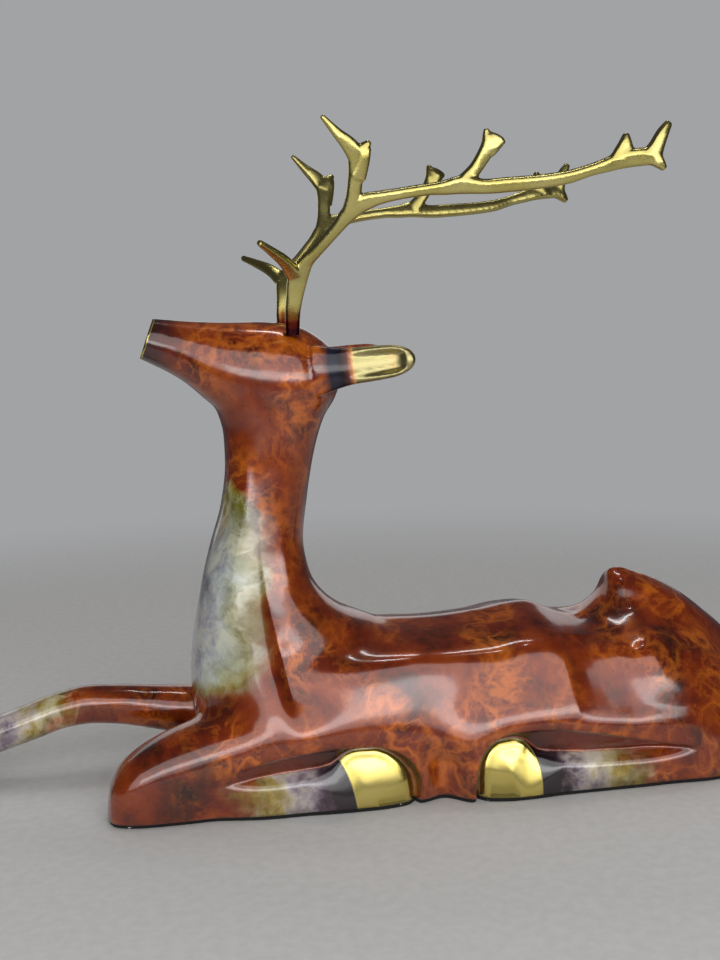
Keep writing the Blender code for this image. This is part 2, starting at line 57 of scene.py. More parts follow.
# Grids of the rough clay and of the finished skins, and the triangles that a piece may keep
CLAY = 2.6
SKIN = 0.9
ANTLER_SKIN = 0.55
BODY_TRIANGLES = 186000
ANTLER_TRIANGLES = 90000

# The pad, the gap round a seated piece, and how deep an antler stands in the crown
PAD_THICK = 2.5
PAD_INSET = 0.8
GAP = 0.3
SEAT_DEPTH = 3.5

BELOW = -14.0  # every form that is cut flat underneath starts this low

# Where one region of the casting ends and the next begins: the head by height, the others by x
HEAD_FROM = 200
FORE_HIND = -5
CHEST_FRONT = -120
STRETCHED_HOOF = -270

# The flat end of the muzzle, by its upper and lower edge: x, height
NOSE_TOP = (-156.0, 279.5)
NOSE_BOTTOM = (-164.6, 256.6)

# Torso: x, half width at heights 16 and 42, shoulder half width, shoulder height, back
TORSO = (
    (-118, 46, 48, 38, 74, 84),
    (-100, 52, 55, 46, 80, 90),
    (-60, 55, 59, 50, 83, 95.4),
    (-28, 53, 58.5, 49, 84, 95.4),
    (0, 51.5, 58, 49, 82, 94.8),
    (30, 54, 59.5, 49.5, 83, 96.6),
    (50, 56, 60.5, 51, 86, 99.6),
    (62, 57.5, 61, 51, 86, 100.6),
    (69, 60, 62, 50.5, 84, 98.4),
    (77, 64.5, 63.5, 51, 81.5, 94.4),
    (87, 67.5, 65, 53.5, 81, 90.6),
    (100, 68.5, 66, 54, 80.5, 88),
    (115, 68.5, 66, 50, 80, 86),
    (132, 67, 61, 36, 82, 86),
)

# Rump with the upturned tail: x, height, half width at 18, 40, 67 and 82 % of the height
RUMP = (
    (97, 89.5, 55, 56, 52, 40),
    (101, 92.5, 62, 62, 57, 44),
    (105, 95.6, 66, 65, 58.5, 42),
    (109, 99.4, 68, 66.5, 58.5, 36),
    (112.6, 105.4, 68, 67, 57.5, 26),
    (115.4, 117.6, 68, 67, 55, 18),
    (121, 118.6, 68, 67, 54.5, 20),
    (132, 115.2, 68, 66, 53.5, 24),
    (143, 111, 68, 65, 52.5, 28),
    (155, 104.8, 67.5, 62.5, 50.5, 31),
    (166.5, 97.2, 65.5, 59.5, 47, 31),
    (178, 87.8, 61.5, 55, 43, 29),
    (191.5, 76, 54.5, 47.5, 36.5, 25),
    (205, 58.5, 43, 36, 26, 19),
    (215, 40, 30, 25, 18, 13),
    (221, 20, 15, 12.5, 9, 6.5),
    (223, 6, 5, 4, 3, 2),
)

# Neck and chest: height, front, back, half width
NECK = (
    (-14, -131, -62, 45),
    (20, -136, -62, 46.5),
    (40, -140.3, -60, 48),
    (57, -144.6, -58, 48.5),
    (70, -145, -52, 47.5),
    (81, -144.2, -44, 45.5),
    (90, -143, -32, 43.5),
    (97, -142, -33, 41.8),
    (101, -141.2, -45, 40.6),
    (105, -140.4, -53, 39.6),
    (111, -139, -60.5, 38.2),
    (118, -137.4, -66.8, 36.4),
    (128, -135.2, -72, 34.2),
    (148, -129.6, -75.3, 30.4),
    (171, -122.4, -72.4, 28.2),
    (196, -119.0, -67.8, 27.6),
    (212, -119.2, -63.4, 28.4),
    (226, -122.6, -58, 30),
    (238, -125, -55, 31),
    (250, -124, -54, 31),
    (260, -118, -56, 28),
    (266, -108, -64, 22),
)

# Head: x, half width, underside, crown
HEAD = (
    (-172, 11.8, 260.2, 281),
    (-160, 12.9, 254.2, 280),
    (-150, 15.2, 249, 278.8),
    (-140, 18.4, 242.5, 277.7),
    (-125, 23.8, 229, 276.6),
    (-112, 28.4, 221, 276.1),
    (-98, 31.6, 215, 276),
    (-84, 32.8, 213, 275),
    (-72, 30.8, 215, 271.9),
    (-62, 25.2, 220, 266),
    (-54, 16, 229, 258.8),
    (-49.5, 6, 240, 251),
)

# Folded left foreleg: x, middle, half width, height
FORELEG = (
    (-195.6, -37, 5, 9),
    (-194, -37, 11.5, 18),
    (-190, -37, 16, 27.6),
    (-182, -37, 19.6, 35.8),
    (-172, -36.5, 21.8, 41.8),
    (-160, -36, 23, 47.2),
    (-148, -35, 24.2, 51),
    (-135, -34, 25, 55),
    (-118, -33, 26, 58.6),
    (-98, -31, 28, 61),
    (-82, -28, 28, 58),
)

# Stretched right foreleg: x, half width, underside, top (its middle line is STRETCH_Y)
STRETCH_Y = 35.0
STRETCHED = (
    (-100, 18, 10, 50),
    (-125, 17, 15, 51),
    (-145, 15.6, 20.4, 52),
    (-168, 13.8, 26.6, 54),
    (-190, 12.4, 31.6, 56.2),
    (-208, 11.8, 33.4, 57.2),
    (-222, 11.8, 32, 55),
    (-236, 12, 27.6, 51.2),
    (-250, 12.3, 23.4, 46.2),
    (-264, 12.9, 19, 41.8),
    (-277, 13.8, 11, 38),
    (-287, 14.8, 1, 35),
    (-297, 15.4, -9, 30.6),
    (-308, 15.6, -14, 24.6),
    (-318, 14.8, -14, 17.6),
    (-326, 12.4, -14, 10.6),
    (-330.6, 7.4, -14, 4),
)

# Ears: share of the length, half height, half thickness, depth of the bowl
EAR_ROOT = (-68, 25.5, 247.2)
EAR_TIP = (-12.9, 41.5, 252.8)
EAR = (
    (0.0, 14.6, 5.4, 0.0),
    (0.1, 13.6, 5.6, 0.0),
    (0.24, 11.6, 5.5, 0.2),
    (0.38, 10.4, 5.2, 1.4),
    (0.6, 9.9, 5.0, 3.6),
    (0.78, 9.1, 4.6, 4.6),
    (0.86, 8.0, 4.2, 3.4),
    (0.92, 6.6, 3.6, 0.6),
    (0.97, 4.6, 2.6, 0.0),
    (1.0, 1.6, 1.1, 0.0),
)

# The rim over a folded leg and the leg inside it, seen from the side: x, height
FORE_RIM = (
    (-138, 25), (-132, 27.4), (-121.7, 31), (-112.8, 33.2), (-105, 34.8), (-96.7, 36.2),
    (-88.3, 37.2), (-77.2, 38), (-64.8, 38.6), (-51.8, 38.4), (-38.8, 36.2), (-29.2, 31.4),
    (-22.4, 24.2), (-19.4, 14), (-19.6, -20), (-142, -20),
)
FORE_LIMB = (
    (-140, 20), (-126, 22.4), (-116, 23.2), (-105, 23.8), (-88, 24.8), (-77, 25.6), (-71, 26.8),
    (-66.6, 29.4), (-62.4, 32.8), (-55, 35), (-45, 34.6), (-38, 32.2), (-31.5, 27.6), (-26.4, 21.6),
    (-23.2, 15.2), (-22.2, 8), (-22.2, -20), (-143, -20),
)
HIND_RIM = (
    (10.8, -20), (10.6, 12), (11.8, 21), (14, 29), (19.1, 35.4), (24.5, 38.6), (33.7, 41),
    (48, 41.4), (62, 40.5), (74.8, 38.3), (90.4, 35.1), (108, 30.8), (125.7, 27), (140, 24),
    (150, 21), (156, -20),
)
HIND_LIMB = (
    (13.4, -20), (13.4, 12), (14.2, 19.6), (16.6, 25.4), (21, 31.4), (27, 34.5), (35, 35.2),
    (41, 33.4), (45.4, 29.6), (50, 26.4), (60.5, 24.4), (79.7, 22.8), (102.8, 22), (128, 21.8),
    (150, 21.2), (160, -20),
)

# How far out the top of each folded leg and the lip over it stand, how deep the recess between them
# is, and the two x between which the leg runs out into the body. LIP is the width of the lip's inner
# edge, and over FLARE the flank above it runs out to it.
FORE_OUT, HIND_OUT = 60.8, 67.4
FORE_LIP, HIND_LIP = 62.2, 68.8
FORE_RECESS, HIND_RECESS = 7.4, 8.6
FORE_FADE, HIND_FADE = (-142, -96), (154, 112)
LIP = 2.2
FLARE = 21

# The groove behind the shoulder, by height: its x, its depth, and how wide its two flanks are
SHOULDER_GROOVE = (
    (214, -99.5), (180, -101.4), (150, -101.6), (122, -99.8), (100, -96.6), (83, -93.2),
    (67, -89.8), (50, -86.5),
)
GROOVE_DEPTH = (
    (46, 0), (56, 3.6), (70, 6.0), (88, 5.4), (104, 4.2), (125, 2.6), (150, 1.9), (190, 1.5),
    (214, 0),
)
GROOVE_FRONT = ((70, 6.0), (130, 4.0))
GROOVE_BACK = ((60, 20), (100, 16), (150, 7))

# The lobe in front of the groove: its middle line, how far it swells and how wide it is
LOBE = ((-105, 94), (-104, 60))
LOBE_SWELL = 3.8
LOBE_WIDE = 15

# The step down from the flank to the haunch: its x by height, how deep it is by the distance behind
# that, and how much the distance is stretched, by height
HAUNCH_EDGE = ((40, 75), (46, 75), (56, 74.5), (71, 73), (84, 71))
HAUNCH_STEP = (
    (-5, 0), (-2.5, 0.7), (0, 3.0), (4, 4.6), (9, 5.6), (16, 6.2), (26, 5.8), (40, 3.6), (54, 1.2),
    (66, 0),
)
HAUNCH_STRETCH = ((46, 1.2), (84, 0.8))

# Where the clay is melted down further, in balls: x, distance from the middle, height, radius
SHOULDER_AND_FLANK = ((-62, 32, 92, 40), (-38, 30, 92, 30), (100, 30, 84, 22))
CHEST_AND_RUMP = ((-98, 36, 82, 50), (150, 50, 60, 56))

# Where the polished brass of a hoof ends: height, x
FORE_EDGE = ((1, -56.8), (8, -57.7), (16, -59.6), (23, -62.2), (29.5, -65.5), (36, -69.6))
HIND_EDGE = (
    (2, 49.4), (10, 49.6), (15, 49.3), (19, 48.7), (23, 47.5), (27, 45.6), (31, 42.8), (35, 39),
)
STRETCHED_EDGE = -290.0

# How far the pale wash on the chest reaches back from the front of the neck, by height
CHEST_WIDE = ((50, 34), (62, 40), (117, 42), (160, 32), (182, 22), (200, 10))

# Antler skeleton of the left side: x, distance from the middle, height, half width
BASE = (
    (-79.4, 23.8, 264, 3.3), (-79.1, 24.2, 270, 3.5), (-78.9, 25.2, 278.6, 3.8),
    (-77.8, 27.4, 288, 4.3), (-76.2, 31, 297.6, 5.2), (-72.5, 36, 306, 3.9),
)
BEAM = (
    (-76.2, 31, 297.6, 5.0), (-72.5, 36, 306, 3.8), (-66.3, 41, 312.7, 2.8), (-56, 49, 324, 3.0),
    (-49.7, 53.6, 331.2, 4.0), (-41.4, 56.6, 336.6, 4.2), (-33.4, 58, 338.6, 3.1),
    (-22, 59, 340.5, 2.6), (-8, 60, 342.3, 2.7), (1, 61, 343, 3.5), (9.4, 62, 344.2, 4.4),
    (23, 64, 343, 3.5), (33.4, 65, 343.6, 3.6), (51, 67, 344.8, 3.3), (66.4, 69, 346.8, 3.1),
    (77.6, 71, 349.9, 2.7), (86.6, 72, 352.4, 3.3), (95.4, 73, 355, 4.2), (104.6, 75, 356.2, 4.4),
    (112.4, 76, 356.6, 4.2),
)
BROW = (
    (-77.2, 32, 299.6, 4.4), (-84.4, 42, 307.2, 2.9), (-91.8, 52, 311.8, 2.0),
    (-99.4, 62, 316, 1.2),
)
SECOND = (
    (-49.7, 53.6, 331.2, 4.0), (-47.8, 57, 339.8, 3.7), (-47, 60, 349, 3.6),
    (-46.2, 63, 357.2, 4.6), (-49.4, 65, 363, 4.1), (-57.6, 66.6, 371, 2.2),
    (-65.2, 68, 378.9, 0.9),
)
SECOND_HEEL = ((-47, 62.6, 357, 4.2), (-43.2, 64.6, 363, 2.6), (-39.6, 66, 366.2, 1.0))
SECOND_WEB = ((-46, 60.6, 348, 4.0), (-43.6, 63, 356, 3.4), (-41.2, 65.2, 363.4, 1.9))
THIRD = ((10.6, 62, 344.6, 4.3), (18.2, 63.2, 353.6, 3.1), (22.8, 65, 361, 3.6), (26.6, 66, 367.6, 4.8))
THIRD_TOE = ((23.8, 65, 361.6, 3.4), (22.8, 66, 368, 1.9), (22.6, 67, 372.6, 1.0))
THIRD_HEEL = ((24.4, 65, 361.2, 3.4), (29.6, 66, 365, 2.1), (32.6, 67, 366.6, 1.0))
THIRD_WEB = ((23.4, 66.2, 369.6, 1.6), (27.4, 66.4, 367.6, 2.2), (31, 66.8, 366.4, 1.4))
SPIKE = (
    (96.4, 73.2, 354, 9.5), (96.6, 73.6, 359.4, 5.6), (97, 74.2, 364.4, 2.9),
    (97.2, 74.6, 368.8, 1.1),
)
END = (
    (110.4, 76, 355, 6.4), (113.4, 76.8, 361.6, 3.9), (116.4, 77.6, 368.2, 2.8),
    (120, 78, 373.9, 1.5),
)
END_HEEL = ((112, 76, 356, 4.2), (115.6, 76.2, 352.6, 2.6), (118.4, 76.4, 349.6, 1.2))
ANTLER_BARS = (
    BASE, BEAM, BROW, SECOND, SECOND_HEEL, SECOND_WEB, THIRD, THIRD_TOE, THIRD_HEEL, THIRD_WEB,
    SPIKE, END, END_HEEL,
)
ANTLER_HALF_THICK = 3.0
ANTLER_LEAN = ((260, 0.0), (288, 0.35), (300, 0.95), (312, 0.8), (330, 0.38), (380, 0.3))
ANTLER_FILL = 0.42  # makes up for what the smoothing takes off

# The hollow in the crown for an antler's root: its foot, its half width and how it leans
SOCKET_AT = (-79.35, 23.9)
SOCKET_TOP = 270.5
SOCKET_HALF = 3.95
SOCKET_LEAN = (0.045, 0.06)


# Mesh tools

def smooth_table(table, key, fineness):
    """Rows of the table resampled every `fineness` along column `key` by shape-keeping cubics."""
    rows = np.array(sorted(table, key=lambda row: row[key]), float)
    t = rows[:, key]
    at = np.linspace(t[0], t[-1], max(3, int(round((t[-1] - t[0]) / fineness)) + 1))
    step = np.diff(t)[:, None]
    slope = np.diff(rows, axis=0) / step
    inner = np.zeros_like(rows)
    # Between two slopes of one sign their harmonic mean, and flat at a turn, so nothing overshoots
    a, b = slope[:-1], slope[1:]
    same = a * b > 0
    inner[1:-1][same] = (2 * a * b / np.where(same, a + b, 1))[same]
    inner[0], inner[-1] = slope[0], slope[-1]
    i = np.clip(np.searchsorted(t, at, side="right") - 1, 0, len(t) - 2)
    h = step[i]
    u = ((at - t[i]) / (t[i + 1] - t[i]))[:, None]
    return (
        (2 * u**3 - 3 * u**2 + 1) * rows[i]
        + (u**3 - 2 * u**2 + u) * h * inner[i]
        + (3 * u**2 - 2 * u**3) * rows[i + 1]
        + (u**3 - u**2) * h * inner[i + 1]
    )


def read(table, at):
    """The second column of the table where its first one is `at`."""
    first, second = np.array(table, float).T
    return np.interp(at, first, second)


def ease(t):
    """From 0 to 1 with a soft start and a soft end."""
    t = np.clip(t, 0, 1)
    return t * t * (3 - 2 * t)


def rounded(count, power):
    """Unit superellipse: two columns, both from -1 to 1."""
    a = np.arange(count) * 2 * math.pi / count
    c, s = np.cos(a), np.sin(a)
    return np.sign(c) * np.abs(c) ** (2 / power), np.sign(s) * np.abs(s) ** (2 / power)


def profile_ring(points, count):
    """A closed left-right symmetrical outline from a half profile of (half width, height)."""
    points = np.array(points, float)
    run = np.r_[0, np.cumsum(np.hypot(*np.diff(points, axis=0).T))]
    half = smooth_table(np.c_[run, points], 0, run[-1] / count)[:, 1:]
    other = half[-2:0:-1] * (-1, 1)
    return np.vstack([half, other])


def use(obj):
    """Makes the piece the only selected and the active one, as operators need."""
    if bpy.context.mode != "OBJECT":
        bpy.ops.object.mode_set(mode="OBJECT")
    bpy.ops.object.select_all(action="DESELECT")
    obj.select_set(True)
    bpy.context.view_layer.objects.active = obj


def apply(obj, kind, **settings):
    """Adds a modifier with its settings and applies it at once."""
    use(obj)
    one = obj.modifiers.new(kind.lower(), kind)
    for name, value in settings.items():
        setattr(one, name, value)
    bpy.ops.object.modifier_apply(modifier=one.name)


def skin(name, rings):
    """A closed mesh over the rings, each with the same number of points."""
    rings = np.array(rings, float)
    count, around = rings.shape[:2]
    points = rings.reshape(-1, 3).tolist()
    points += [rings[0].mean(0).tolist(), rings[-1].mean(0).tolist()]
    faces = []
    for i in range(count - 1):
        for j in range(around):
            k = (j + 1) % around
            faces.append((i * around + j, i * around + k, (i + 1) * around + k, (i + 1) * around + j))
    for j in range(around):
        k = (j + 1) % around
        faces.append((count * around, k, j))
        faces.append((count * around + 1, (count - 1) * around + j, (count - 1) * around + k))
    mesh = bpy.data.meshes.new(name)
    mesh.from_pydata([[c * MM for c in p] for p in points], [], faces)
    obj = bpy.data.objects.new(name, mesh)
    bpy.context.scene.collection.objects.link(obj)
    face_outward(obj)
    return obj


def face_outward(obj):
    """Turns every face of the closed mesh outwards."""
    work = bmesh.new()
    work.from_mesh(obj.data)
    bmesh.ops.recalc_face_normals(work, faces=work.faces)
    if work.calc_volume(signed=True) < 0:
        bmesh.ops.reverse_faces(work, faces=work.faces)
    work.to_mesh(obj.data)
    work.free()


def join(name, objects):
    """One object of that name from several."""
    use(objects[0])
    for obj in objects:
        obj.select_set(True)
    bpy.ops.object.join()
    objects[0].name = name
    return objects[0]


def remesh(obj, grid, passes):
    """One closed skin over everything inside, then softened like wax."""
    apply(obj, "REMESH", mode="VOXEL", voxel_size=grid * MM)
    apply(obj, "SMOOTH", factor=0.5, iterations=passes)


def get_points(obj):
    """The mesh's points in millimetres, one row each."""
    flat = np.empty(len(obj.data.vertices) * 3)
    obj.data.vertices.foreach_get("co", flat)
    return flat.reshape(-1, 3) / MM


def set_points(obj, points):
    obj.data.vertices.foreach_set("co", (points * MM).reshape(-1))
    obj.data.update()


def melt(obj, balls, passes):
    """Extra smoothing inside the balls, on both sides, dying away towards their surface."""
    p = get_points(obj)
    weight = np.zeros(len(p))
    for x, y, z, r in balls:
        gap = np.sqrt((p[:, 0] - x) ** 2 + (np.abs(p[:, 1]) - y) ** 2 + (p[:, 2] - z) ** 2)
        weight = np.maximum(weight, ease((r - gap) / (0.6 * r)))
    group = obj.vertex_groups.new(name="melt")
    levels = 10
    for level in range(1, levels + 1):
        chosen = np.nonzero(np.round(weight * levels) == level)[0]
        if len(chosen):
            group.add(chosen.tolist(), level / levels, "REPLACE")
    apply(obj, "SMOOTH", factor=0.5, iterations=passes, vertex_group="melt")
    obj.vertex_groups.clear()


def line_distance(points, line):
    """Distance of each (x, z) from the line through the given corners."""
    line = np.array(line, float)
    nearest = np.full(len(points), np.inf)
    for a, b in zip(line[:-1], line[1:]):
        d = b - a
        t = np.clip(((points - a) @ d) / (d @ d), 0, 1)
        nearest = np.minimum(nearest, np.hypot(*(points - a - t[:, None] * d).T))
    return nearest


def inside_depth(points, outline):
    """How far each (x, z) is inside the closed outline; negative outside."""
    outline = np.array(outline, float)
    closed = np.vstack([outline, outline[:1]])
    gap = line_distance(points, closed)
    x, z = points.T
    odd = np.zeros(len(points), bool)
    for (ax, az), (bx, bz) in zip(closed[:-1], closed[1:]):
        crosses = (az > z) != (bz > z)
        safe = bz - az if bz != az else 1.0
        odd ^= crosses & (x < (bx - ax) * (z - az) / safe + ax)
    return np.where(odd, gap, -gap)


def soft_outline(table):
    """A smooth curve through the corners of an outline."""
    table = np.array(table, float)
    run = np.r_[0, np.cumsum(np.hypot(*np.diff(table, axis=0).T))]
    return smooth_table(np.c_[run, table], 0, 2.0)[:, 1:]


def fold_leg(p, side, rim, limb, out, lip, recess, fade):
    """Cuts the recess under the rim and lets the folded leg and hoof swell out of it.

    The flank runs out to the rim over FLARE, and much more shortly beside the hoof. `fade` holds
    the two x between which the leg runs out into the body."""
    # Only the outer side is worked, and fully from 46 mm out
    near = side * p[:, 1] > 36
    x, z = p[near, 0], p[near, 2]
    y = side * p[near, 1]
    flat = np.c_[x, z]
    deep = inside_depth(flat, rim)
    within = inside_depth(flat, limb)
    full = ease((y - 38) / 8) * ease((x - fade[0]) / (fade[1] - fade[0]))
    spread = 11 + (FLARE - 11) * ease((z - 22) / 16)
    brim = lip - 4.0 * (1 - ease((z + 4) / 22))
    y = y + (brim - y) * np.exp(-((np.minimum(deep, 0) / spread) ** 2)) * full
    # A tight rounding at the limb's edge, then a dome that is broad on the hoof and short on the leg
    edge = np.clip(within / 5, 0, 1)
    hoof = read(((-84, 0), (-60, 1), (42, 1), (62, 0)), x)
    swell = np.clip(within / (9 + 20 * hoof), 0, 1)
    dome = 0.35 * np.sqrt(1 - (1 - edge) ** 2) + 0.65 * (1 - (1 - swell) ** 2)
    # The floor of the recess falls from the rim to the limb, and the hoof leans out at its foot
    below_rim, above_limb = np.clip(deep, 0, 99), np.clip(-within, 0, 99)
    down = below_rim / (below_rim + above_limb + 0.01)
    leg = out - recess * np.where(within > 0, 1 - dome, 0.3 + 0.7 * down)
    leg = leg + 0.11 * hoof * np.clip(20 - z, -14, 20) * ease(within / 6)
    p[near, 1] = side * (y + (leg - y) * ease(deep / LIP) * full)


def carve_body(obj):
    """Grooves, creases and folded legs, worked into the softened clay."""
    p = get_points(obj)
    x, y, z = p.T
    out = np.abs(y)
    # The groove behind the shoulder, and the lobe that swells in front of it
    away = x - read(smooth_table(SHOULDER_GROOVE, 0, 2), z)
    reach = np.where(away < 0, -away / read(GROOVE_FRONT, z), away / read(GROOVE_BACK, z))
    dig = read(smooth_table(GROOVE_DEPTH, 0, 1), z) * np.exp(-(reach**1.5)) * ease((out - 14) / 12)
    lobe = line_distance(np.c_[x, z], LOBE)
    swell = LOBE_SWELL * np.exp(-((lobe / LOBE_WIDE) ** 2)) * ease((out - 24) / 12)
    # The step where the flank stands proud of the haunch, which then swells out again slowly
    behind = (x - read(HAUNCH_EDGE, z)) / read(HAUNCH_STRETCH, z)
    tuck = read(smooth_table(HAUNCH_STEP, 0, 0.5), behind)
    tuck = tuck * ease((z - 34) / 16) * ease((96 - z) / 16) * ease((out - 36) / 10)
    p[:, 1] = np.sign(y) * (out + swell - dig - tuck)
    rim, limb = soft_outline(FORE_RIM), soft_outline(FORE_LIMB)
    fold_leg(p, -1, rim, limb, FORE_OUT, FORE_LIP, FORE_RECESS, FORE_FADE)
    rim, limb = soft_outline(HIND_RIM), soft_outline(HIND_LIMB)
    for side in (-1, 1):
        fold_leg(p, side, rim, limb, HIND_OUT, HIND_LIP, HIND_RECESS, HIND_FADE)
    set_points(obj, p)


def face_heights(obj):
    middles = np.empty(len(obj.data.polygons) * 3)
    obj.data.polygons.foreach_get("center", middles)
    return middles[2::3] / MM


def slice_off(obj, point, normal, above=-math.inf):
    """Cuts away what is on the side the normal points to, and closes the cut flat. Faces that are
    no higher than `above` are left as they are."""
    use(obj)
    bpy.ops.object.mode_set(mode="EDIT")
    bpy.ops.mesh.select_mode(type="FACE")
    bpy.ops.mesh.select_all(action="DESELECT")
    bpy.ops.object.mode_set(mode="OBJECT")
    obj.data.polygons.foreach_set("select", face_heights(obj) > above)
    bpy.ops.object.mode_set(mode="EDIT")
    # The operator holds each part of its normal between -1 and 1
    bpy.ops.mesh.bisect(
        plane_co=[c * MM for c in point], plane_no=Vector(normal).normalized(),
        use_fill=True, clear_outer=True, threshold=1e-7,
    )
    bpy.ops.object.mode_set(mode="OBJECT")


def keep_largest(obj):
    """Drops every loose crumb but the largest part."""
    work = bmesh.new()
    work.from_mesh(obj.data)
    left = set(work.verts)
    islands = []
    while left:
        seed = left.pop()
        island, stack = [seed], [seed]
        while stack:
            for edge in stack.pop().link_edges:
                for v in edge.verts:
                    if v in left:
                        left.remove(v)
                        island.append(v)
                        stack.append(v)
        islands.append(island)
    islands.sort(key=len)
    bmesh.ops.delete(work, geom=[v for i in islands[:-1] for v in i], context="VERTS")
    work.to_mesh(obj.data)
    work.free()


def thin_out(obj, triangles):
    """Fewer triangles where the skin is flat, so that the piece stays under its limit."""
    apply(obj, "TRIANGULATE")
    count = len(obj.data.polygons)
    if count > triangles:
        apply(obj, "DECIMATE", ratio=triangles / count)


# The lumps the casting is built from

def torso():
    rings = []
    for x, low, mid, shoulder, shoulder_z, top in smooth_table(TORSO, 0, 3):
        half = [
            (0, BELOW), (low, BELOW), (low, 16), (mid, 42), (mid - 2.6, shoulder_z * 0.76),
            (shoulder, shoulder_z), (shoulder * 0.62, shoulder_z + (top - shoulder_z) * 0.55), (0, top),
        ]
        rings.append([(x, y, z) for y, z in profile_ring(half, 40)])
    return skin("torso", rings)


def rump():
    rings = []
    for x, top, foot, middle, upper, crest in smooth_table(RUMP, 0, 2.5):
        half = [
            (0, BELOW), (foot, BELOW), (foot, 0.18 * top), (middle, 0.40 * top), (upper, 0.67 * top),
            (crest, 0.82 * top), (crest * 0.62, 0.94 * top), (0, top),
        ]
        rings.append([(x, y, z) for y, z in profile_ring(half, 40)])
    return skin("rump", rings)


def neck():
    c, s = rounded(56, 2.4)
    return skin("neck", [
        np.c_[(front + back) / 2 + c * (back - front) / 2, s * half, np.full(56, z)]
        for z, front, back, half in smooth_table(NECK, 0, 3)
    ])


def head():
    c, s = rounded(48, 2.35)
    return skin("head", [
        np.c_[np.full(48, x), c * half, (low + top) / 2 + s * (top - low) / 2]
        for x, half, low, top in smooth_table(HEAD, 0, 2.5)
    ])


def folded_foreleg():
    c, s = rounded(44, 2.5)
    rings = []
    for x, y, half, top in smooth_table(FORELEG, 0, 2.5):
        middle = top * 0.45
        z = np.where(s > 0, middle + s * (top - middle), middle + s * (middle - BELOW))
        rings.append(np.c_[np.full(44, x), y + c * half, z])
    return skin("folded_foreleg", rings)


def stretched_foreleg():
    c, s = rounded(40, 2.4)
    return skin("stretched_foreleg", [
        np.c_[np.full(40, x), STRETCH_Y + c * half, (low + top) / 2 + s * (top - low) / 2]
        for x, half, low, top in smooth_table(STRETCHED, 0, 2.5)
    ])


def ear_frame():
    """Where the left ear starts, its run to the tip, and the directions outwards and up across it."""
    root, tip = np.array(EAR_ROOT, float), np.array(EAR_TIP, float)
    run = tip - root
    outward = np.cross(run, (0, 0, 1.0))
    outward /= -np.linalg.norm(outward)
    up = np.cross(run, outward)
    up /= np.linalg.norm(up)
    return root, run, outward, up * np.sign(up[2])


def ear(side):
    root, run, outward, up = ear_frame()
    c, s = rounded(72, 2.3)
    dip = ease((0.84 - np.abs(s)) / 0.4) * (c > 0)
    rings = []
    for share, high, thick, bowl in smooth_table(EAR, 0, 0.02):
        away = c * thick - bowl * dip
        ring = root + share * run + np.outer(away, outward) + np.outer(s * high, up)
        rings.append(ring * (1, side, 1))
    return skin("ear", rings)


def bar(nodes, side):
    """A bar of the antler: flat faces, rounded edges, narrowing to a point."""
    nodes = np.array(nodes, float)
    run = np.r_[0, np.cumsum(np.linalg.norm(np.diff(nodes[:, :3], axis=0), axis=1))]
    fine = smooth_table(np.c_[run, nodes], 0, 1.6)[:, 1:]
    middle = fine[:, :3]
    ahead = np.gradient(middle, axis=0)
    ahead /= np.linalg.norm(ahead, axis=1)[:, None]
    c, s = rounded(28, 3.4)
    rings = []
    for m, t, w in zip(middle, ahead, fine[:, 3]):
        flat = np.array((0, 1.0, -read(ANTLER_LEAN, m[2])))
        flat = flat - (flat @ t) * t
        flat /= np.linalg.norm(flat)
        across = np.cross(t, flat)
        thick = min(ANTLER_HALF_THICK, 0.7 + 0.85 * w)
        ring = m + np.outer(c * (w + ANTLER_FILL), across) + np.outer(s * thick, flat)
        rings.append(ring * (1, side, 1))
    return skin("bar", rings)


def antler(name, side):
    obj = join(name, [bar(nodes, side) for nodes in ANTLER_BARS])
    remesh(obj, ANTLER_SKIN, 20)
    slice_off(obj, (0, 0, SOCKET_TOP - SEAT_DEPTH + GAP), (0, 0, -1))
    thin_out(obj, ANTLER_TRIANGLES)
    return obj


def socket(side):
    """The hollow in the crown that takes an antler root."""
    c, s = rounded(40, 2.7)
    rings = []
    for h in (0.0, 6.0, 12.0):
        x = SOCKET_AT[0] + SOCKET_LEAN[0] * h + c * (SOCKET_HALF + GAP)
        y = SOCKET_AT[1] + SOCKET_LEAN[1] * h + s * (ANTLER_HALF_THICK + 0.15 + GAP)
        rings.append(np.c_[x, side * y, np.full(40, SOCKET_TOP - SEAT_DEPTH + h)])
    return skin("socket", rings)


def to_model(obj, part):
    """Moves a piece from the measured frame to the model's, and sets it just inside its part's box."""
    p = get_points(obj) + (ORIGIN_X, 0, 0)
    low, high = (np.array(corner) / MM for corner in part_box(part))
    tight = 0.02
    own_low, own_high = p.min(0), p.max(0)
    p = low + tight + (p - own_low) / (own_high - own_low) * (high - low - 2 * tight)
    set_points(obj, p)
    face_outward(obj)
    use(obj)
    bpy.ops.object.shade_smooth()
    obj.data.name = obj.name


# Body

clay = join("body_cast", [torso(), rump(), neck(), head(), folded_foreleg(), stretched_foreleg()])
remesh(clay, CLAY, 9)
melt(clay, SHOULDER_AND_FLANK, 80)
melt(clay, CHEST_AND_RUMP, 26)
remesh(clay, SKIN, 3)
body = join("body_cast", [clay, ear(-1), ear(1)])
remesh(body, SKIN, 3)
keep_largest(body)
carve_body(body)
apply(body, "SMOOTH", factor=0.5, iterations=2)

# The pad takes its outline from the lowest slice of the body
use(body)
bpy.ops.object.duplicate()
pad = bpy.context.active_object
pad.name = "felt_pad"
slice_off(pad, (0, 0, PAD_THICK), (0, 0, 1))
slice_off(pad, (0, 0, 0), (0, 0, -1))
keep_largest(pad)
corners = get_points(pad)
middle = (corners.max(0) + corners.min(0)) / 2
reach = (corners.max(0) - corners.min(0)) / 2
corners[:, :2] = middle[:2] + (corners[:, :2] - middle[:2]) * (1 - PAD_INSET / reach[:2])
set_points(pad, corners)

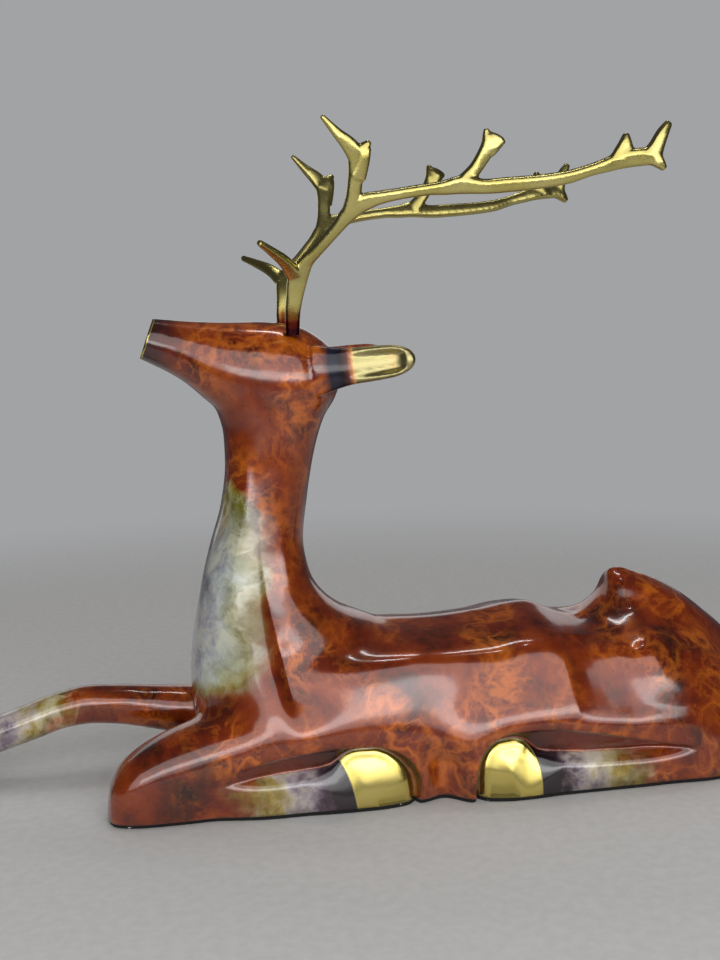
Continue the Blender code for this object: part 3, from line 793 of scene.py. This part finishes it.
# The body is cut flat over the pad and at the muzzle, and the stretched hoof drawn down to the table
under = PAD_THICK + GAP
slice_off(body, (0, 0, under), (0, 0, -1))
drop_x, drop_z = NOSE_TOP[0] - NOSE_BOTTOM[0], NOSE_TOP[1] - NOSE_BOTTOM[1]
slice_off(body, (NOSE_TOP[0], 0, NOSE_TOP[1]), (-drop_z, 0, drop_x), above=HEAD_FROM)
corners = get_points(body)
hoof = corners[:, 0] < STRETCHED_HOOF
corners[hoof, 2] -= under * (1 - ease((corners[hoof, 2] - under) / 12))
set_points(body, corners)
for side in (-1, 1):
    cutter = socket(side)
    apply(body, "BOOLEAN", operation="DIFFERENCE", solver="MANIFOLD", object=cutter)
    bpy.data.objects.remove(cutter, do_unlink=True)
thin_out(body, BODY_TRIANGLES)

antler_left = antler("antler_brass_left", -1)
antler_right = antler("antler_brass_right", 1)

to_model(body, "body")
to_model(pad, "base_pad")
to_model(antler_left, "antler_left")
to_model(antler_right, "antler_right")


# Where each finish lies on the body

def write_field(obj, name, values):
    field = obj.data.attributes.new(name, "FLOAT", "POINT")
    field.data.foreach_set("value", np.ascontiguousarray(values, np.float32))


def mark_finishes(obj):
    """Fields on the casting, in millimetres, that tell the patina where brass, bands and washes lie."""
    x, y, z = (get_points(obj) - (ORIGIN_X, 0, 0)).T
    out = np.abs(y)
    flat = np.c_[x, z]
    # Up the leg from the edge of its brass hoof, below zero on the hoof
    fore = read(FORE_EDGE, z) - x
    hind = x - read(HIND_EDGE, z)
    stretched = x - STRETCHED_EDGE - (z - 12) * 0.25
    on_stretched = (y > 0) & (x < CHEST_FRONT)
    write_field(obj, "leg_run", np.where(on_stretched, stretched, np.where(x < FORE_HIND, fore, hind)))
    # Inside the outline of a limb, and inside the shaded recess between a limb and its rim
    fore_in = np.minimum(inside_depth(flat, soft_outline(FORE_LIMB)), (-y - 44) / 2)
    hind_in = np.minimum(inside_depth(flat, soft_outline(HIND_LIMB)), (out - 46) / 2)
    fore_rim = np.minimum(inside_depth(flat, soft_outline(FORE_RIM)), (x + 126) / 4)
    hind_rim = np.minimum(inside_depth(flat, soft_outline(HIND_RIM)), (142 - x) / 4)
    limb = np.where(x < FORE_HIND, fore_in, hind_in)
    write_field(obj, "limb_in", np.where(on_stretched, 9.0, limb))
    fore_gap = np.minimum(np.minimum(fore_rim, -fore_in), (-y - 40) / 2)
    hind_gap = np.minimum(np.minimum(hind_rim, -hind_in), (out - 42) / 2)
    write_field(obj, "recess_in", np.where(x < FORE_HIND, fore_gap, hind_gap))
    # Behind the flat end of the muzzle
    muzzle = ((x - NOSE_TOP[0]) * drop_z - (z - NOSE_TOP[1]) * drop_x) / math.hypot(drop_x, drop_z)
    write_field(obj, "muzzle_run", np.where(z > 210, muzzle, 200.0))
    # Along the ear, and how surely the place is in its open side
    root, run, outward, up = ear_frame()
    q = np.c_[x, out, z] - root
    length = np.linalg.norm(run)
    share = q @ run / length**2
    high = read([row[:2] for row in EAR], share)
    in_bowl = np.abs(q @ up) < high * 0.8
    on_ear = (share > 0.03) & (x > -66) & (z > 230) & (z < 266) & (out > 24)
    write_field(obj, "ear_run", np.where(on_ear, share * length, -50.0))
    write_field(obj, "ear_open", np.where(on_ear, ease((q @ outward - 0.2 + 1.2 * in_bowl) / 1.2), 0.0))
    # The pale wash down the front of the neck: 1 at its front edge, 0 where it has died away
    front = read([row[:2] for row in NECK], z)
    chest = np.clip(1 - (x - front) / read(CHEST_WIDE, z), -1, 1.2) + 1
    chest = chest * ease((z - 44) / 34) * ease((208 - z) / 46) * (x > -160) - 1
    write_field(obj, "chest", chest)


mark_finishes(body)


# Materials

def linear(code):
    """An sRGB hex colour as linear values."""
    parts = [int(code[i:i + 2], 16) / 255 for i in (1, 3, 5)]
    return (*[c / 12.92 if c <= 0.04045 else ((c + 0.055) / 1.055) ** 2.4 for c in parts], 1.0)


def new_finish(name, pieces):
    """A new material on the pieces, with its node tree and shader."""
    finish = bpy.data.materials.new(name)
    finish.use_nodes = True
    for piece in pieces:
        piece.data.materials.clear()
        piece.data.materials.append(finish)
    return finish.node_tree, finish.node_tree.nodes["Principled BSDF"].inputs


def node(tree, kind, feeds=None, output=0, stops=(), **settings):
    """Adds a node. Feeds give its inputs a number, a hex colour or the socket that drives them, stops
    are a colour ramp's (place, hex), and the rest are the node's own settings."""
    one = tree.nodes.new("ShaderNode" + kind)
    for name, value in settings.items():
        setattr(one, name, value)
    for name, value in (feeds or {}).items():
        if isinstance(value, bpy.types.NodeSocket):
            tree.links.new(value, one.inputs[name])
        else:
            one.inputs[name].default_value = linear(value) if isinstance(value, str) else value
    for i, (place, code) in enumerate(stops):
        mark = one.color_ramp.elements[i] if i < 2 else one.color_ramp.elements.new(place)
        mark.position = place
        mark.color = linear(code)
    return one.outputs[output]


# Copper patina under clear lacquer: dyes dabbed on the plated casting and drawn out with a flame,
# then a dip in lacquer. It gives a burnt orange brown with dark clouds, a web of bright orange
# veins, paler washes on chest and legs, and a glassy coat that mirrors the room.
tree, shader = new_finish("lacquered copper patina", [body])
place = node(tree, "TexCoord", output="Object")

# The dyes are dragged about by slow eddies some 40 mm across
eddy = node(tree, "TexNoise", {"Vector": place, "Scale": 1000 / 42, "Detail": 2.0}, "Color")
eddy = node(tree, "VectorMath", {0: eddy, 1: (0.5, 0.5, 0.5)}, operation="SUBTRACT")
flow = node(tree, "VectorMath", {0: eddy, 1: (0.028, 0.028, 0.028), 2: place}, operation="MULTIPLY_ADD")

# Dark and light clouds, 34 mm across
cloud = node(tree, "TexNoise", {"Vector": flow, "Scale": 1000 / 34, "Detail": 5.0, "Roughness": 0.62})
rust = node(tree, "ValToRGB", {0: cloud}, stops=(
    (0.30, "#2C0D02"), (0.40, "#4E1702"), (0.50, "#6E2303"), (0.60, "#803205"), (0.72, "#5C1C03")))

# Veins, bold ones 30 mm apart and fine ones 13 mm apart, in patches
bold = node(tree, "TexNoise", {"Vector": flow, "Scale": 1000 / 30, "Detail": 4.0, "Roughness": 0.55})
bold = node(tree, "Math", {0: bold, 1: 0.5}, operation="SUBTRACT")
bold = node(tree, "Math", {0: bold}, operation="ABSOLUTE")
bold = node(
    tree, "MapRange", {"Value": bold, "From Min": 0.0, "From Max": 0.055, "To Min": 1.0, "To Max": 0.0}
)
fine = node(tree, "TexNoise", {"Vector": flow, "Scale": 1000 / 13, "Detail": 4.0, "Roughness": 0.6})
fine = node(tree, "Math", {0: fine, 1: 0.5}, operation="SUBTRACT")
fine = node(tree, "Math", {0: fine}, operation="ABSOLUTE")
fine = node(
    tree, "MapRange", {"Value": fine, "From Min": 0.0, "From Max": 0.05, "To Min": 0.5, "To Max": 0.0}
)
patch = node(tree, "TexNoise", {"Vector": place, "Scale": 1000 / 46, "Detail": 3.0})
patch = node(
    tree, "MapRange",
    {"Value": patch, "From Min": 0.44, "From Max": 0.62, "To Min": 0.05, "To Max": 0.9},
)
veins = node(tree, "Math", {0: bold, 1: fine}, operation="MAXIMUM")
veins = node(tree, "Math", {0: veins, 1: patch}, operation="MULTIPLY")

# The wash on the chest: lilac grey at the front edge, then white and yellow, running out in ochre.
# Higher up, on the throat, it turns olive.
stray = node(tree, "Math", {0: cloud, 1: 0.5}, operation="SUBTRACT")
chest = node(tree, "Attribute", output="Fac", attribute_name="chest")
chest = node(tree, "Math", {0: stray, 1: 1.3, 2: chest}, operation="MULTIPLY_ADD")
wash = node(tree, "ValToRGB", {0: chest}, stops=(
    (0.05, "#743A09"), (0.22, "#6E4C1A"), (0.40, "#7C7038"), (0.58, "#96987C"), (0.78, "#B0B6B2"),
    (1.0, "#8A8A98")))
height = node(tree, "SeparateXYZ", {0: place}, "Z")
throat = node(tree, "MapRange", {"Value": height, "From Min": 0.142, "From Max": 0.176})
olive = node(
    tree, "ValToRGB", {0: cloud}, stops=((0.38, "#3A3A10"), (0.5, "#66621E"), (0.62, "#94812E"))
)
wash = node(tree, "Mix", {0: throat, 6: wash, 7: olive}, 2, data_type="RGBA")
mottle = node(tree, "TexNoise", {"Vector": flow, "Scale": 1000 / 15, "Detail": 5.0, "Roughness": 0.65})
shade = node(
    tree, "MapRange",
    {"Value": mottle, "From Min": 0.35, "From Max": 0.62, "To Min": 0.62, "To Max": 1.15},
)
wash = node(tree, "Mix", {0: 1.0, 6: wash, 7: shade}, 2, data_type="RGBA", blend_type="MULTIPLY")
washed = node(tree, "MapRange", {"Value": chest, "From Min": -0.02, "From Max": 0.24})
colour = node(tree, "Mix", {0: washed, 6: rust, 7: wash}, 2, data_type="RGBA")

# Up each leg from its hoof: near black purple, lilac and white marbling, olive, ochre, rust
leg_run = node(tree, "Attribute", output="Fac", attribute_name="leg_run")
limb_in = node(tree, "Attribute", output="Fac", attribute_name="limb_in")
BANDS = 80.0  # millimetres from the hoof to the end of the last band
drift = node(tree, "TexNoise", {"Vector": place, "Scale": 1000 / 13, "Detail": 5.0, "Roughness": 0.62})
drift = node(tree, "Math", {0: drift, 1: 0.5}, operation="SUBTRACT")
loose = node(
    tree, "MapRange",
    {"Value": leg_run, "From Min": 1.0, "From Max": 30.0, "To Min": 2.0, "To Max": 62.0},
)
drawn = node(tree, "Math", {0: drift, 1: loose, 2: leg_run}, operation="MULTIPLY_ADD")
share = node(tree, "Math", {0: drawn, 1: BANDS}, operation="DIVIDE")
band = node(tree, "ValToRGB", {0: share}, stops=(
    (0.02, "#12060C"), (0.12, "#1E0C16"), (0.20, "#4C3846"), (0.30, "#8C7F88"), (0.42, "#AEA295"),
    (0.54, "#94803E"), (0.66, "#6E580E"), (0.80, "#7E480F"), (1.0, "#7E3206")))
band = node(tree, "Mix", {0: 1.0, 6: band, 7: shade}, 2, data_type="RGBA", blend_type="MULTIPLY")
on_limb = node(tree, "MapRange", {"Value": limb_in, "From Min": -0.5, "From Max": 0.5})
banded = node(
    tree, "MapRange", {"Value": share, "From Min": 0.66, "From Max": 0.90, "To Min": 1.0, "To Max": 0.0}
)
banded = node(tree, "Math", {0: banded, 1: on_limb}, operation="MULTIPLY")
colour = node(tree, "Mix", {0: banded, 6: colour, 7: band}, 2, data_type="RGBA")

# The veins lie over all of these, bright orange on the rust and pale on the washes
pale = node(tree, "Math", {0: washed, 1: banded}, operation="MAXIMUM")
web = node(tree, "Mix", {0: pale, 6: "#D67218", 7: "#C2BCA2"}, 2, data_type="RGBA")
near_hoof = node(tree, "MapRange", {"Value": share, "From Min": 0.12, "From Max": 0.3})
off_hoof = node(tree, "Math", {0: 1.0, 1: on_limb}, operation="SUBTRACT")
off_hoof = node(tree, "Math", {0: off_hoof, 1: near_hoof}, operation="MAXIMUM")
veins = node(tree, "Math", {0: veins, 1: off_hoof}, operation="MULTIPLY")
veins = node(tree, "Math", {0: veins, 1: 0.62}, operation="MULTIPLY")
colour = node(tree, "Mix", {0: veins, 6: colour, 7: web}, 2, data_type="RGBA")

# Painted shade darkens the recess above each folded leg; dark dye has darkened the end of the muzzle
recess_in = node(tree, "Attribute", output="Fac", attribute_name="recess_in")
recess_shade = node(
    tree, "MapRange",
    {"Value": recess_in, "From Min": 0.2, "From Max": 1.6, "To Min": 0.0, "To Max": 0.9},
)
# The painted shade in the recess is darkest close to the hoof
recess_shade_tone = node(tree, "MapRange", {"Value": leg_run, "From Min": 4.0, "From Max": 26.0})
recess_shade_tone = node(tree, "Mix", {0: recess_shade_tone, 6: "#2C0B08", 7: "#5E1A08"}, 2, data_type="RGBA")
colour = node(tree, "Mix", {0: recess_shade, 6: colour, 7: recess_shade_tone}, 2, data_type="RGBA")
muzzle_run = node(tree, "Attribute", output="Fac", attribute_name="muzzle_run")
smoked = node(tree, "Math", {0: drift, 1: 26.0, 2: muzzle_run}, operation="MULTIPLY_ADD")
smoked = node(
    tree, "MapRange",
    {"Value": smoked, "From Min": 4.0, "From Max": 22.0, "To Min": 0.92, "To Max": 0.0},
)
colour = node(tree, "Mix", {0: smoked, 6: colour, 7: "#241014"}, 2, data_type="RGBA")

# In the ear the dark dye ends in a blue band with a flame-orange fringe, where the brass begins
EAR_BANDS = 24.0  # millimetres from the ear's root to the end of the fringe
ear_run = node(tree, "Attribute", output="Fac", attribute_name="ear_run")
ear_open = node(tree, "Attribute", output="Fac", attribute_name="ear_open")
ear_drawn = node(tree, "Math", {0: drift, 1: 3.5, 2: ear_run}, operation="MULTIPLY_ADD")
ear_share = node(tree, "Math", {0: ear_drawn, 1: EAR_BANDS}, operation="DIVIDE")
ear_band = node(tree, "ValToRGB", {0: ear_share}, stops=(
    (0.20, "#4A1C10"), (0.34, "#1E1622"), (0.50, "#1A1C2E"), (0.66, "#120A12"), (0.80, "#4A2420"),
    (0.93, "#C07A48")))
in_ear = node(tree, "MapRange", {"Value": ear_drawn, "From Min": 3.5, "From Max": 9.5})
in_ear = node(tree, "Math", {0: in_ear, 1: ear_open}, operation="MULTIPLY")
colour = node(tree, "Mix", {0: in_ear, 6: colour, 7: ear_band}, 2, data_type="RGBA")

# Bare brass on the hooves, in the ears and round the flat end of the muzzle, which is dark itself
hoof = node(
    tree, "MapRange",
    {"Value": leg_run, "From Min": -0.7, "From Max": 0.3, "To Min": 1.0, "To Max": 0.0},
)
toe = node(tree, "MapRange", {"Value": limb_in, "From Min": 0.1, "From Max": 0.9})
hoof = node(tree, "Math", {0: hoof, 1: toe}, operation="MULTIPLY")
ear_brass = node(tree, "MapRange", {"Value": ear_drawn, "From Min": 21.5, "From Max": 23.5})
ear_brass = node(tree, "Math", {0: ear_brass, 1: ear_open}, operation="MULTIPLY")
nose = node(
    tree, "MapRange",
    {"Value": muzzle_run, "From Min": 0.7, "From Max": 1.3, "To Min": 1.0, "To Max": 0.0},
)
brass = node(tree, "Math", {0: hoof, 1: ear_brass}, operation="MAXIMUM")
brass = node(tree, "Math", {0: brass, 1: nose}, operation="MAXIMUM")
off_end = node(tree, "MapRange", {"Value": muzzle_run, "From Min": 0.02, "From Max": 0.06})
brass = node(tree, "Math", {0: brass, 1: off_end}, operation="MULTIPLY")
tarnish = node(tree, "TexNoise", {"Vector": place, "Scale": 1000 / 20, "Detail": 3.0})
brass_tone = node(tree, "ValToRGB", {0: tarnish}, stops=((0.35, "#D2BE62"), (0.65, "#DCCA76")))
brass_tone = node(tree, "Mix", {0: ear_brass, 6: brass_tone, 7: "#AEA472"}, 2, data_type="RGBA")
colour = node(tree, "Mix", {0: brass, 6: colour, 7: brass_tone}, 2, data_type="RGBA")
tree.links.new(colour, shader["Base Color"])

# The dyes are clear enough to let a little of the copper shine. Their lacquer is thick and mirrors
# strongly, that on the brass is thin.
metal = node(tree, "Math", {0: pale, 1: -0.2, 2: 0.28}, operation="MULTIPLY_ADD")
metal = node(tree, "Math", {0: brass, 1: metal}, operation="MAXIMUM")
tree.links.new(metal, shader["Metallic"])
grain = node(tree, "TexNoise", {"Vector": place, "Scale": 1000 / 3, "Detail": 3.0})
matt = node(
    tree, "MapRange", {"Value": grain, "From Min": 0.3, "From Max": 0.7, "To Min": 0.26, "To Max": 0.36}
)
satin = node(tree, "MapRange", {"Value": ear_brass, "To Min": 0.17, "To Max": 0.33})
matt = node(tree, "Mix", {0: brass, 2: matt, 3: satin}, data_type="FLOAT")
tree.links.new(matt, shader["Roughness"])
thin = node(tree, "Math", {0: in_ear, 1: 0.6}, operation="MULTIPLY")
thin = node(tree, "Math", {0: brass, 1: thin}, operation="MAXIMUM")
coat = node(tree, "MapRange", {"Value": thin, "To Min": 1.0, "To Max": 0.1})
tree.links.new(coat, shader["Coat Weight"])
shader["Specular IOR Level"].default_value = 0.12
shader["Coat Roughness"].default_value = 0.13
shader["Coat IOR"].default_value = 1.7
sag = node(tree, "TexNoise", {"Vector": place, "Scale": 1000 / 16, "Detail": 2.0})
sag = node(tree, "Bump", {"Height": sag, "Strength": 0.12, "Distance": 0.0006})
tree.links.new(sag, shader["Normal"])
tree.links.new(sag, shader["Coat Normal"])

# Satin brass: cast, filed smooth and brushed with fine wool, then lacquered. It gives a pale gold
# with soft, broad lights, going over into the dark dye where it enters the crown.
tree, shader = new_finish("satin brass", [antler_left, antler_right])
place = node(tree, "TexCoord", output="Object")
tarnish = node(tree, "TexNoise", {"Vector": place, "Scale": 1000 / 22, "Detail": 3.0})
gold = node(tree, "ValToRGB", {0: tarnish}, stops=((0.35, "#C4B668"), (0.65, "#D2C67E")))
height = node(tree, "SeparateXYZ", {0: place}, "Z")
drift = node(tree, "TexNoise", {"Vector": place, "Scale": 1000 / 9, "Detail": 3.0})
height = node(tree, "Math", {0: drift, 1: 0.006, 2: height}, operation="MULTIPLY_ADD")
foot = node(tree, "MapRange", {"Value": height, "From Min": 0.268, "From Max": 0.292})
foot = node(tree, "ValToRGB", {0: foot}, stops=(
    (0.22, "#240A0E"), (0.42, "#5A1E12"), (0.62, "#8E6430"), (0.82, "#C6B86C")))
dyed = node(tree, "MapRange", {"Value": height, "From Min": 0.282, "From Max": 0.290})
gold = node(tree, "Mix", {0: dyed, 6: foot, 7: gold}, 2, data_type="RGBA")
tree.links.new(gold, shader["Base Color"])
shader["Metallic"].default_value = 1.0
wool = node(tree, "TexNoise", {"Vector": place, "Scale": 1000 / 6, "Detail": 1.0})
satin = node(
    tree, "MapRange", {"Value": wool, "From Min": 0.3, "From Max": 0.7, "To Min": 0.24, "To Max": 0.28}
)
tree.links.new(satin, shader["Roughness"])

# Felt, needled and dyed black, glued under the casting. It gives a dull black line with stray pale
# fibres; the real fibres are a tenth as coarse.
tree, shader = new_finish("black felt", [pad])
place = node(tree, "TexCoord", output="Object")
fibre = node(tree, "TexNoise", {"Vector": place, "Scale": 1000 / 1.2, "Detail": 4.0, "Roughness": 0.7})
tone = node(tree, "ValToRGB", {0: fibre}, stops=((0.3, "#0A0A0B"), (0.6, "#151516"), (0.74, "#2A2A2A")))
speck = node(tree, "TexNoise", {"Vector": place, "Scale": 1000 / 3.2, "Detail": 1.0})
speck = node(tree, "MapRange", {"Value": speck, "From Min": 0.74, "From Max": 0.77})
tone = node(tree, "Mix", {0: speck, 6: tone, 7: "#B8B4AC"}, 2, data_type="RGBA")
tree.links.new(tone, shader["Base Color"])
shader["Roughness"].default_value = 0.95
fuzz = node(tree, "Bump", {"Height": fibre, "Strength": 0.6, "Distance": 0.0004})
tree.links.new(fuzz, shader["Normal"])

for piece, part, slot in (
    (body, "body", "patina"),
    (pad, "base_pad", "felt"),
    (antler_left, "antler_left", "brass"),
    (antler_right, "antler_right", "brass"),
):
    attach(piece, "root")
    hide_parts(part)


# Floor, light and camera

bpy.ops.object.select_all(action="DESELECT")
bpy.ops.mesh.primitive_plane_add(size=4.0, location=(0, 0, 0))
floor = bpy.context.active_object
floor.name = "studio_floor"

# Matt painted board, which dies away into the backdrop 0.5 to 1.1 m from the object
tree, shader = new_finish("matt painted board", [floor])
place = node(tree, "TexCoord", output="Object")
tooth = node(tree, "TexNoise", {"Vector": place, "Scale": 1000 / 6, "Detail": 4.0})
tone = node(tree, "ValToRGB", {0: tooth}, stops=((0.35, "#B2B1AF"), (0.65, "#B8B7B5")))
tree.links.new(tone, shader["Base Color"])
shader["Roughness"].default_value = 0.85
shader["Specular IOR Level"].default_value = 0.2
away = node(tree, "VectorMath", {0: place}, "Value", operation="LENGTH")
solid = node(
    tree, "MapRange",
    {"Value": away, "From Min": 0.5, "From Max": 1.1, "To Min": 1.0, "To Max": 0.0},
    interpolation_type="SMOOTHSTEP",
)
tree.links.new(solid, shader["Alpha"])

world = bpy.data.worlds.new("studio")
bpy.context.scene.world = world
world.use_nodes = True
# The backdrop is seen pale, and throws little light back, as a dim room does
seen = node(world.node_tree, "LightPath", output="Is Camera Ray")
room = node(world.node_tree, "Mix", {0: seen, 6: "#404044", 7: "#A2A3A5"}, 2, data_type="RGBA")
world.node_tree.links.new(room, world.node_tree.nodes["Background"].inputs["Color"])


def panel(name, place, target, wide, high, radiance, mirrored=True):
    """A soft box whose face shines with the radiance given, whatever its size."""
    light = bpy.data.lights.new(name, "AREA")
    light.shape = "RECTANGLE"
    light.size, light.size_y = wide, high
    light.energy = radiance * math.pi * wide * high
    obj = bpy.data.objects.new(name, light)
    bpy.context.scene.collection.objects.link(obj)
    obj.location = place
    aim = np.array(target, float) - np.array(place, float)
    obj.rotation_euler = Vector(aim).to_track_quat("-Z", "Y").to_euler()
    obj.visible_camera = False
    obj.visible_glossy = mirrored


panel("front_softbox", (-0.30, -1.35, 0.68), (-0.30, 0, 0.68), 2.5, 1.16, 1.5)
panel("front_wash", (-0.30, -1.4, 0.9), (0, 0, 0.1), 2.5, 1.4, 1.1, mirrored=False)
panel("front_strip", (0.05, -0.76, 0.235), (0.05, 0, 0.1), 1.3, 0.13, 3.0)
panel("back_softbox", (0.1, 1.5, 0.42), (0.1, 0, 0.3), 2.4, 0.6, 0.6)
panel("ceiling_tube", (0.2, 0.3, 1.5), (0.1, 0.1, 0), 0.5, 0.05, 18.0)
panel("ceiling_lamp", (0.25, -0.25, 1.5), (0.1, 0, 0), 0.04, 0.04, 60.0)
panel("ceiling_wash", (0.0, 0.2, 2.2), (0, 0, 0), 2.4, 2.4, 1.2, mirrored=False)

# The camera looks along +Y and a little down, leans a little to one side, and the animal is turned
# from it by the last angle. Its focal length was found in pixels of a frame that is 960 high.
FOCAL_LENGTH, FRAME_HEIGHT = 1150, 960
CAMERA_AT = (-0.0981, -0.6709, 0.270)
down, roll, turn = (math.radians(a) for a in (7.5, 1.75, 9.5))
lens = bpy.data.cameras.new("photo_camera")
lens.sensor_fit = "VERTICAL"
lens.sensor_height = 36.0
lens.lens = FOCAL_LENGTH / FRAME_HEIGHT * lens.sensor_height
camera = bpy.data.objects.new("photo_camera", lens)
bpy.context.scene.collection.objects.link(camera)
ahead = np.array([0, math.cos(down), -math.sin(down)])
right = np.array([1.0, 0, 0])
below = np.array([0, -math.sin(down), -math.cos(down)])
right, below = (
    math.cos(roll) * right + math.sin(roll) * below,
    -math.sin(roll) * right + math.cos(roll) * below,
)
swing = np.array([
    [math.cos(turn), math.sin(turn), 0],
    [-math.sin(turn), math.cos(turn), 0],
    [0, 0, 1],
])
axes = np.column_stack([swing @ right, -(swing @ below), -(swing @ ahead)])
camera.matrix_world = Matrix.Translation(CAMERA_AT) @ Matrix(axes.tolist()).to_4x4()
bpy.context.scene.camera = camera
bpy.context.scene.view_settings.view_transform = "Standard"
